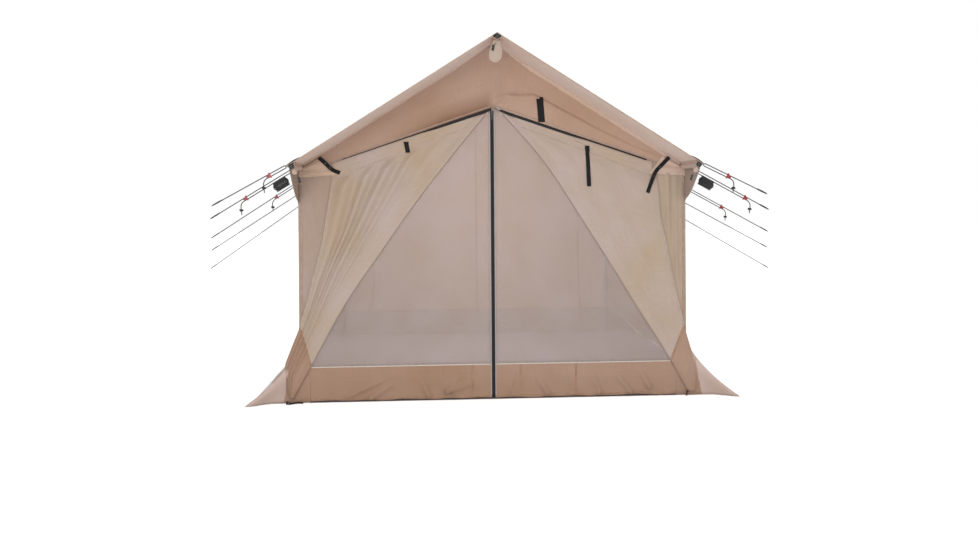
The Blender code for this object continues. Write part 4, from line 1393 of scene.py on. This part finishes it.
# %% Zip coil
coil_pitch = 0.0042
coil_steps = 6
coil_half_width = 0.0028
coil_half_depth = 0.0009
coil_wire = 0.0011
coil_y = leaf_y - 0.0023
coil_foot = leaf_bottom_gap + 0.001
coil_nylon = worn_finish("black_nylon_coil", ("0D0C0F", "1A191C"), (0.4, 0.7), (0.03, 3.0, 0.5),
                         roughness=0.42)
turns = int((zip_top - leaf_bottom_gap) / coil_pitch)
coil_points = []
for step in range(turns * coil_steps):
    angle = 2 * math.pi * step / coil_steps
    x = zip_middle + coil_half_width * math.cos(angle)
    y = coil_y - coil_half_depth * math.sin(angle)
    coil_points.append(Vector((x, y, coil_foot + coil_pitch * step / coil_steps)))
coil = cord_curve("door_zip_coil", coil_points, coil_wire, coil_nylon)
coil.data.bevel_resolution = 1
solid_cord(coil, "door_leaf_left")
print(f"zip coil: {turns} turns, {len(coil.data.polygons)} faces")

# %% [markdown]
# At each eave corner a gathered piece of the roof's cloth hangs over the front. Cloth sleeves hold the
# three poles under the overhang, and stop short of the black caps.

# %% Eave corners and pole sleeves
drape_inner = ((0.985, 1.415), (1.075, 1.530))
drape_outer = ((1.217, 1.400), (1.217, 1.449))
drape_centre = (1.215, 1.445)
drape_forward = 0.0085
drape_fold_depth = 0.011
drape_folds = 12
sleeve_radius = 0.0162
sleeve_flange = 0.026
sleeve_start_gap = 0.012
sleeve_end_gap = 0.02
sleeve_thickness = 0.0010


def drape_rule(sign):
    """The rule that lays a gathered corner, whose folds run out from the eave."""

    def place(u, v):
        low = [blend(drape_inner[0][axis], drape_outer[0][axis], u) for axis in (0, 1)]
        high = [blend(drape_inner[1][axis], drape_outer[1][axis], u) for axis in (0, 1)]
        x, z = blend(low[0], high[0], v), blend(low[1], high[1], v)
        angle = math.atan2(z - drape_centre[1], drape_centre[0] - x + 0.004)
        reach = math.hypot(z - drape_centre[1], drape_centre[0] - x)
        wave = 0.5 + 0.5 * math.sin(angle * drape_folds + 2 * sign)
        fold = drape_fold_depth * wave * soft(reach / 0.08) + 0.003 * (1 + ripple(x, 0, z, 0.07, 73.0))
        edge = soft(u * 6) * soft(v * 6) * soft((1 - v) * 6)
        return Vector((sign * x, front_y - drape_forward - fold * edge, z))

    return place


for side, sign in sides:
    place = drape_rule(sign)
    piece = lay_cloth(f"eave_drape_{side}", place, 60, 24, roof_canvas, leave_out=by_eave_pole)
    hang(piece, place, "tent", [])

slope = {side: Vector((sign * math.cos(pitch_angle), 0, -math.sin(pitch_angle))) for side, sign in sides}
poles = (
    ("ridge", Vector((0, 0, ridge_axis_z)), slope["left"], slope["right"]),
    ("eave_left", Vector((-leg_x, 0, eave_axis_z)), slope["left"], -slope["left"]),
    ("eave_right", Vector((leg_x, 0, eave_axis_z)), -slope["right"], slope["right"]),
)
for label, axis, first, second in poles:
    if label == "ridge":
        flange_z = roof_z(sleeve_flange) - 0.0015
        start, end = Vector((-sleeve_flange, 0, flange_z)), Vector((sleeve_flange, 0, flange_z))
        arc = [math.radians(angle) for angle in range(200, 341, 14)]
    else:
        tilt = math.copysign(pitch_angle, -axis.x)
        lift = Vector((-math.sin(tilt), 0, math.cos(tilt))) * (pole_radius - 0.0004)
        start, end = axis + first * sleeve_flange + lift, axis + second * sleeve_flange + lift
        arc = [math.radians(angle) + tilt for angle in range(150, 391, 16)]
    round_pole = [axis + Vector((math.cos(angle), 0, math.sin(angle))) * sleeve_radius for angle in arc]
    if (round_pole[0] - start).length > (round_pole[-1] - start).length:
        round_pole.reverse()
    route = [start, *round_pole, end]
    if label == "ridge":
        route = smooth_route([start, *round_pole[1:-1:3], end], 6)

    def sleeve(u, v):
        """The rule that lays a sleeve round its pole, from the front wall to near the cap."""
        index = min(int(u * (len(route) - 1)), len(route) - 2)
        point = route[index].lerp(route[index + 1], u * (len(route) - 1) - index)
        y = blend(front_y - sleeve_start_gap, roof_front_y + sleeve_end_gap, v)
        pucker = 0.0008 * ripple(u * 0.1, y, 0, 0.05, 75.0)
        return Vector((point.x, y, point.z - abs(pucker)))

    piece = lay_cloth(f"pole_sleeve_{label}", sleeve, 2 * (len(route) - 1), 30, roof_canvas, sleeve_thickness)
    hang(piece, sleeve, "tent", [])

# %% [markdown]
# Straps of black webbing close the flaps and the gable. A long and a short one hang from the flaps'
# heads, and a wide one lies on the gable. Each of these has a second layer sewn on its head, and the
# two on the flaps have folded lumps. Each corner tie is pulled tight and has two dark eyelets.

# %% Straps
web_thickness = 0.0018
web_head_thickness = 0.002
web_head_step = Vector((0, -0.0022, 0))
gable_web_x = 0.3
gable_web_top = Vector((0.288, 0, hem_z(gable_web_x) + 0.165))
gable_web_run = Vector((0.014, 0, -0.158))
tie_width = 0.024
tie_clear = 0.003
corner_tie_forward = 0.0255
tie_routes = {
    "left": ((1.090, 1.524), (1.050, 1.490), (1.012, 1.452), (0.962, 1.429)),
    "right": ((1.112, 1.518), (1.070, 1.474), (1.024, 1.424), (0.996, 1.352), (0.975, 1.292)),
}
eyelet_shares = (0.35, 0.62)
eyelet_steel = worn_finish("dark_steel_eyelet", ("353434", "5C5A58"), (0.35, 0.65), (0.004, 3.0, 0.5),
                           roughness=0.5, metallic=0.8)


def on_flap(side, x, z):
    """The front face of a storm flap near its head, at a point of the front."""
    return flap_y - canvas - 0.0016 - fold_depth[side] * soft((flap_top(abs(x)) - 0.05 - z) / 0.08)


def web_strap(name, node, body, path, width, head_width, head_points, across):
    """A strap of webbing with a second layer sewn on its head."""
    piece = strip(name, path, width, across_x, webbing, body, web_thickness, across)
    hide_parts(node)
    head_path = [point + web_head_step for point in path[:head_points]]
    strip(f"{name}_head", head_path, head_width, across_x, webbing, body,
          web_head_thickness, across)


gable_web = []
for step in range(17):
    point = gable_web_top + gable_web_run * step / 16
    up = (point.z - hem_z(gable_web_x)) / (gable_top_z(gable_web_x) - hem_z(gable_web_x))
    point.y = front_y - gable_forward(gable_web_x, point.z, up) - 0.0028
    gable_web.append(point)
web_strap("gable_web", "gable_strap", "gable_strap", gable_web, width=0.042, head_width=0.044,
          head_points=5, across=8)
for name, node, body, side, x, rise, length, width, lean in (
    ("flap_tab_web", "flap_tab_left", "flap_left", "left", -0.552, 0.010, 0.058, 0.028, 0.012),
    ("flap_strap_web", "flap_strap_right", "flap_strap", "right", 0.590, -0.005, 0.262, 0.025, 0.010),
):
    path = []
    for step in range(25):
        share = step / 24
        z = flap_top(abs(x)) + rise - (length + rise) * share
        lumps = 0.004 * bump(share, 0.12, 0.08) + 0.003 * bump(share, 0.93, 0.07)
        path.append(Vector((x + lean * share, on_flap(side, x, z) - 0.003 - lumps, z)))
    web_strap(name, node, body, path, width, head_width=width * 1.12, head_points=4, across=6)


def eyelet(name, place, facing, body, radius=0.0055, wire=0.0016):
    """A pressed metal ring that lies on a strap."""
    bpy.ops.object.select_all(action="DESELECT")
    bpy.ops.mesh.primitive_torus_add(major_segments=24, minor_segments=8, major_radius=radius,
                                     minor_radius=wire)
    made = bpy.context.object
    made.name = name
    made.data.transform(facing.to_track_quat("Z", "Y").to_matrix().to_4x4())
    made.data.transform(Matrix.Translation(place))
    made.data.materials.append(eyelet_steel)
    bpy.ops.object.shade_smooth()
    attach(made, body)


for side, sign in sides:
    route = []
    for point in smooth_route([Vector((sign * x, 0, z)) for x, z in tie_routes[side]], 8):
        y = on_flap(side, point.x, point.z) - tie_clear
        if abs(point.x) > tip_x - 0.02:
            y = min(y, front_y - corner_tie_forward * soft((abs(point.x) - 0.97) / 0.05) - 0.001)
        route.append(Vector((point.x, y, point.z)))

    def square_to(v):
        """The direction across the tie at a share of its length."""
        index = min(int(v * (len(route) - 1)), len(route) - 2)
        return (route[index + 1] - route[index]).cross(Vector((0, 1, 0))).normalized()

    piece = strip(f"corner_tie_web_{side}", route, tie_width, square_to, webbing, f"flap_{side}",
                  web_thickness, 6)
    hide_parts(f"corner_tie_{side}")
    for index, share in enumerate(eyelet_shares):
        place = route[int(share * (len(route) - 1))] + Vector((0, -0.0016, 0))
        eyelet(f"tie_eyelet_{side}_{index + 1}", place, front, f"flap_{side}")
    print(f"corner tie {side}: {length_of(route):.3f} m of webbing")

# %% [markdown]
# Under the ridge hangs a tongue of cloth, and beside each eave cap a small lobe, each with a thin brown
# cord and a black toggle.

# %% Tongue, lobes and toggles
tongue_length = 0.13
tongue_width = 0.078
tongue_aside = 0.012
tongue_tuck = 0.0022
tongue_y = roof_front_y + 0.05
lobe_y = roof_front_y + 0.026
lobe_width = 0.034
lobe_length = 0.034
brown_cord_diameter = 0.003
toggle_length = 0.036
toggle_radius = 0.0072
toggle_drop = Vector((0, 0, -0.0036))
toggle_profile = ((-0.5, 0.35), (-0.46, 0.75), (-0.36, 1.0), (-0.14, 1.0), (-0.06, 0.72),
                  (0.06, 0.72), (0.14, 1.0), (0.36, 1.0), (0.46, 0.75), (0.5, 0.35))
toggle_sides = 16
brown_cord = worn_finish("brown_cotton_cord", ("6E4F38", "8F6C4F"), (0.3, 0.7), (0.002, 2.0, 0.5),
                         (None, 0.5, 0.0005), roughness=0.85)
toggle_nylon = worn_finish("black_moulded_nylon", ("141416", "2C2B2E"), (0.4, 0.75), (0.01, 4.0, 0.5),
                           (0.0008, 0.3, 0.0002), roughness=0.45)


def tongue_place(u, v):
    """The rule that lays the tongue, wide near the top and rounded at its foot."""
    rounded = tongue_width / 2
    from_end = max(rounded - tongue_length * (1 - v), 0.0)
    half = math.sqrt(max(rounded**2 - from_end**2, (rounded * 0.22) ** 2))
    half *= blend(0.55, 1.0, soft(v / 0.5))
    curl = 0.006 * (2 * u - 1) ** 2 * math.sin(math.pi * v)
    y = tongue_y - 0.004 * math.sin(math.pi * v) + curl
    z = ridge_axis_z - sleeve_radius - tongue_tuck - tongue_length * v
    return Vector((half * (2 * u - 1) - tongue_aside * v, y, z))


piece = lay_cloth("ridge_tongue_cloth", tongue_place, 20, 34, flap_canvas)
hang(piece, tongue_place, "ridge_tongue", ["ridge_tongue"])


def toggle(name, place, along, body):
    """A small moulded toggle: a bar with rounded ends and a waist for its cord."""
    made = bpy.data.objects.new(name, bpy.data.meshes.new(name))
    bpy.context.scene.collection.objects.link(made)
    shape = bmesh.new()
    rings = []
    for along_share, radius_share in toggle_profile:
        ring = []
        for step in range(toggle_sides):
            angle = 2 * math.pi * step / toggle_sides
            reach = radius_share * toggle_radius
            corner = (math.cos(angle) * reach, math.sin(angle) * reach, along_share * toggle_length)
            ring.append(shape.verts.new(corner))
        rings.append(ring)
    for low, high in zip(rings, rings[1:]):
        for step in range(toggle_sides):
            after = (step + 1) % toggle_sides
            shape.faces.new((low[step], low[after], high[after], high[step]))
    shape.faces.new(rings[0][::-1])
    shape.faces.new(rings[-1])
    shape.to_mesh(made.data)
    shape.free()
    made.data.transform(along.to_track_quat("Z", "Y").to_matrix().to_4x4())
    made.data.transform(Matrix.Translation(place))
    made.data.materials.append(toggle_nylon)
    made.data.shade_smooth()
    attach(made, body)
    return made


def brown_loop(name, points, body, toggle_along):
    """A thin brown cord that ends in a toggle."""
    route = smooth_route([Vector(point) for point in points], 6)
    end = toggle(f"{name}_toggle", route[-1] + toggle_drop, Vector(toggle_along), body)
    cord = cord_curve(name, route, brown_cord_diameter, brown_cord)
    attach(cord, body)
    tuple(route[0])
    length_of(route)


forward = tongue_y - 0.008
brown_loop("ridge_toggle_cord", ((-0.006, forward, 2.186), (-0.013, forward - 0.001, 2.178),
                                 (-0.020, forward - 0.001, 2.169), (-0.023, forward, 2.161)),
           "ridge_tongue", (0.2, 0, 1))
for side, sign in sides:
    x, z = sign * (leg_x - 0.022), eave_axis_z - 0.020

    def lobe(u, v):
        """The rule that lays the round lobe beside an eave cap."""
        half = lobe_width / 2 * math.sqrt(max(1 - (2 * v - 1) ** 2, 0.05))
        y = lobe_y - 0.002 * math.sin(math.pi * v)
        return Vector((x + sign * 0.006 - (2 * u - 1) * half, y, z + 0.008 - lobe_length * v))

    piece = lay_cloth(f"eave_lobe_{side}", lobe, 12, 16, flap_canvas)
    hang(piece, lobe, "tent", [])
    route = [(x - sign * inward, lobe_y - ahead, z + rise)
             for inward, ahead, rise in ((0, 0.006, 0.004), (0.010, 0.007, -0.014), (0.018, 0.007, -0.034),
                                         (0.020, 0.006, -0.052))]
    brown_loop(f"eave_toggle_cord_{side}", route, "tent", (0.3 * sign, 0, 1))

# %% [markdown]
# Where a guy line meets the eave, a tab of webbing is sewn on the roof and holds a steel ring. Outside
# the left front corner a black elastic loop lies on the ground with its toggle, and on the right a
# small knob stands beside the corner. Steel is galvanised: its zinc crystals give patches of two
# greys, and its gloss changes from patch to patch.

# %% Guy tabs, rings and ground loops
ring_radius = 0.0105
ring_wire = 0.0014
ring_steps = 24
tab_steps = 12
tab_sizes = {"first": (0.095, 0.05), "others": (0.066, 0.02)}
along_y = Vector((0, 1, 0))

steel, steel_shader = new_material("galvanised_steel_tube", roughness=0.42, metallic=0.85)
steel_place = add_node(steel, "TexCoord", output="Object")
rolled = add_node(steel, "Mapping", inputs={"Vector": steel_place, "Scale": (1.0, 0.06, 1.0)})
spangle, scratches = (
    add_node(steel, "TexNoise", inputs={"Vector": place, "Scale": 1 / size, "Detail": 3.0, "Roughness": 0.6},
             output="Fac")
    for place, size in ((steel_place, 0.012), (rolled, 0.004))
)
steel_tone = add_node(steel, "ValToRGB", inputs={"Fac": spangle},
                      stops=((0.35, linear("8A8E92")), (0.65, linear("A9ADB0"))))
steel_gloss = add_node(steel, "ValToRGB", inputs={"Fac": spangle},
                       stops=((0.3, grey(0.34)), (0.7, grey(0.5))))
steel.node_tree.links.new(steel_gloss, steel_shader.inputs["Roughness"])
dress(steel, steel_shader, steel_tone, (scratches, 0.15, 0.0003))

for side, sign in sides:
    place = roof_place(sign)
    slope_length = math.hypot(roof_reach, ridge_height - roof_z(roof_reach))
    for number, row in enumerate(guy_rows):
        length, width = tab_sizes["others" if number else "first"]
        v = (row - roof_front_y) / (roof_rear_y - roof_front_y)
        path = []
        for step in range(tab_steps + 1):
            u = 1 - length / slope_length * (1 - step / tab_steps)
            here, normal = point_and_normal(place, u, v, Vector((0, 0, 1)))
            path.append(here + normal * (0.0022 + 0.005 * math.sin(math.pi * step / tab_steps)))
        strip(f"guy_tab_{side}_{number + 1}", path, width, along_y, webbing, "tent", 0.0024, 6)
        start, along, _ = guy_frame(side, sign, number)
        middle = start + along * (ring_wire + 0.0002) - along * ring_radius * 0.55
        ring = []
        for step in range(ring_steps + 1):
            angle = 2 * math.pi * step / ring_steps
            lengthwise = along * ring_radius * 0.75 * math.cos(angle)
            ring.append(middle + lengthwise + along_y * ring_radius * math.sin(angle))
        solid_cord(cord_curve(f"guy_ring_{side}_{number + 1}", ring, 2 * ring_wire, steel), "tent")

loop_points = ((-1.196, 0.030, 0.006), (-1.225, 0.040, 0.010), (-1.262, 0.046, 0.007), (-1.284, 0.050, 0.004))
loop_path = smooth_route([Vector((x, front_y - ahead, z)) for x, ahead, z in loop_points], 6)
strip("ground_loop_left", loop_path, 0.010, Vector((0, 0.3, 1)).normalized(), webbing,
      "tent", 0.002)
toggle("ground_toggle_left", Vector((-1.290, front_y - 0.050, 0.0118)), Vector((0, 1, 0.2)), "tent")
toggle("ground_knob_right", Vector((1.214, front_y - 0.036, 0.0205)), Vector((0.2, 0, 1)), "tent")
print(f"guy tabs and rings: {2 * len(guy_rows)} of each, ground loop {length_of(loop_path):.3f} m long")

# %% [markdown]
# The frame's tubes, caps and fittings and the line runners come straight from the model. Each gets its
# finish here: galvanised tube with its crystal pattern, matt rubber, moulded red nylon with worn
# patches, and the black lacquer of the zip's slider.

# %% Finishes of the frame and the fittings
wear = (0.012, 4.0, 0.6)
rubber = worn_finish("black_rubber_cap", ("131314", "232224"), (0.35, 0.7), wear, (0.0015, 0.3, 0.0002),
                     roughness=0.6)
red_nylon = worn_finish("red_nylon_runner", ("7C1013", "9C1B1B"), (0.35, 0.7), wear, (0.001, 0.3, 0.0002),
                        roughness=0.42)
zinc = worn_finish("black_lacquered_zinc", ("1C1C1E", "3A3A3D"), (0.35, 0.7), wear, (0.001, 0.3, 0.0002),
                   roughness=0.4, metallic=0.3)
finishes = {
    ("guy_slider",): red_nylon,
    ("pole_cap",): rubber,
    ("zip_pull",): zinc,
    ("ridge_pole", "eave_left_pole", "eave_right_pole", "rafter", "leg_front", "leg_rear", "ridge_fitting",
     "eave_fitting"): steel,
}
for starts, finish in finishes.items():
    nodes = [node for node in bpy.data.objects if node.type == "MESH" and node.name.startswith(starts)]
    for node in nodes:
        node.data.materials.clear()
        node.data.materials.append(finish)
    print(f"{finish.name} on {len(nodes)} pieces of the model")

# %% [markdown]
# The studio is a plain pale floor with soft light from all round, as under a bright cloudy sky. The
# picture's background is white, so the floor and the world are pure white to the camera and in glossy
# reflections, and the floor keeps the tent's shadow. Under the tent a shadow is painted on the floor: it
# is grey there and doesn't glow, as the netting lets the eye see the ground inside. The glow starts a
# little further out than the painted grey ends, because the sod cloth's edge is wavy.

# %% Floor and light
painted_shadow_share = 0.98
dark_floor_share = 1.07
floor_glow = 0.55
sky_strength = 0.78
white = grey(1.0)

bpy.ops.object.select_all(action="DESELECT")
bpy.ops.mesh.primitive_plane_add(size=60, location=(0, 0, 0))
floor = bpy.context.object
floor.name = "studio_floor"
floor_paint, floor_shader = new_material("white_studio_floor", roughness=0.95, specular=0.0)


def outside_tent(sod_share):
    """1 on the floor outside the tent and 0 under it, out to a share of the sod cloth's width."""
    reaches = (("X", 0.0, half_width + sod_share * sod_reach), ("Y", (front_y + rear_y) / 2, tent_length / 2))
    place = add_node(floor_paint, "TexCoord", output="Object")
    far = []
    for axis, middle, reach in reaches:
        here = add_node(floor_paint, "SeparateXYZ", inputs={"Vector": place}, output=axis)
        moved = add_node(floor_paint, "Math", {"operation": "SUBTRACT"}, {0: here, 1: middle})
        aside = add_node(floor_paint, "Math", {"operation": "ABSOLUTE"}, {0: moved})
        far.append(add_node(floor_paint, "Math", {"operation": "GREATER_THAN"}, {0: aside, 1: reach}))
    return add_node(floor_paint, "Math", larger_of, {0: far[0], 1: far[1]})


# Painted shadow: the floor is grey under the tent, out to a share of the sod cloth's width.
paint = add_node(floor_paint, "ValToRGB", inputs={"Fac": outside_tent(painted_shadow_share)},
                 stops=((0.0, linear("A9A6AC")), (1.0, linear("EFEDEA"))))
dress(floor_paint, floor_shader, paint)
rays = ("Is Camera Ray", "Is Glossy Ray")
to_eye, in_gloss = (add_node(floor_paint, "LightPath", output=ray) for ray in rays)
seen = add_node(floor_paint, "Math", larger_of, {0: to_eye, 1: in_gloss})
glow = add_node(floor_paint, "Math", {"operation": "MULTIPLY"}, {0: seen, 1: outside_tent(dark_floor_share)})
soft_glow = add_node(floor_paint, "Math", {"operation": "MULTIPLY"}, {0: glow, 1: floor_glow})
floor_shader.inputs["Emission Color"].default_value = white
floor_paint.node_tree.links.new(soft_glow, floor_shader.inputs["Emission Strength"])
floor.data.materials.append(floor_paint)

world = bpy.data.worlds.new("studio_world")
bpy.context.scene.world = world
world.use_nodes = True
sky = world.node_tree.nodes["Background"]
sky.inputs["Color"].default_value = white
sky.inputs["Strength"].default_value = sky_strength
backdrop = add_node(world, "Background", inputs={"Color": white, "Strength": 1.0})
seen = add_node(world, "LightPath", output="Is Camera Ray")
for ray in ("Is Glossy Ray", "Is Transmission Ray"):
    seen = add_node(world, "Math", larger_of, {0: seen, 1: add_node(world, "LightPath", output=ray)})
both = add_node(world, "MixShader", inputs={0: seen, 1: sky.outputs[0], 2: backdrop})
world.node_tree.links.new(both, world.node_tree.nodes["World Output"].inputs["Surface"])


def soft_box(name, place, target, size, power):
    """A large soft lamp that points at a target."""
    bpy.ops.object.light_add(type="AREA", location=place)
    lamp = bpy.context.object
    lamp.name = name
    lamp.data.size = size
    lamp.visible_camera = False
    lamp.data.energy = power
    lamp.rotation_euler = (Vector(target) - Vector(place)).to_track_quat("-Z", "Y").to_euler()
    print(f"{name}: {size} m wide, {power} W")


soft_box("key_lamp", place=(-2.2, -9.0, 1.8), target=(0, 0, 1.2), size=4.0, power=230)
soft_box("low_lamp", place=(1.2, -5.4, 0.1), target=(-0.1, -1.5, 2.1), size=2.5, power=66)
soft_box("inside_lamp", place=(0, 0.2, 1.5), target=(0, 1.4, 0.75), size=0.9, power=18)

# %% Finish
bpy.context.scene.view_settings.view_transform = "Standard"
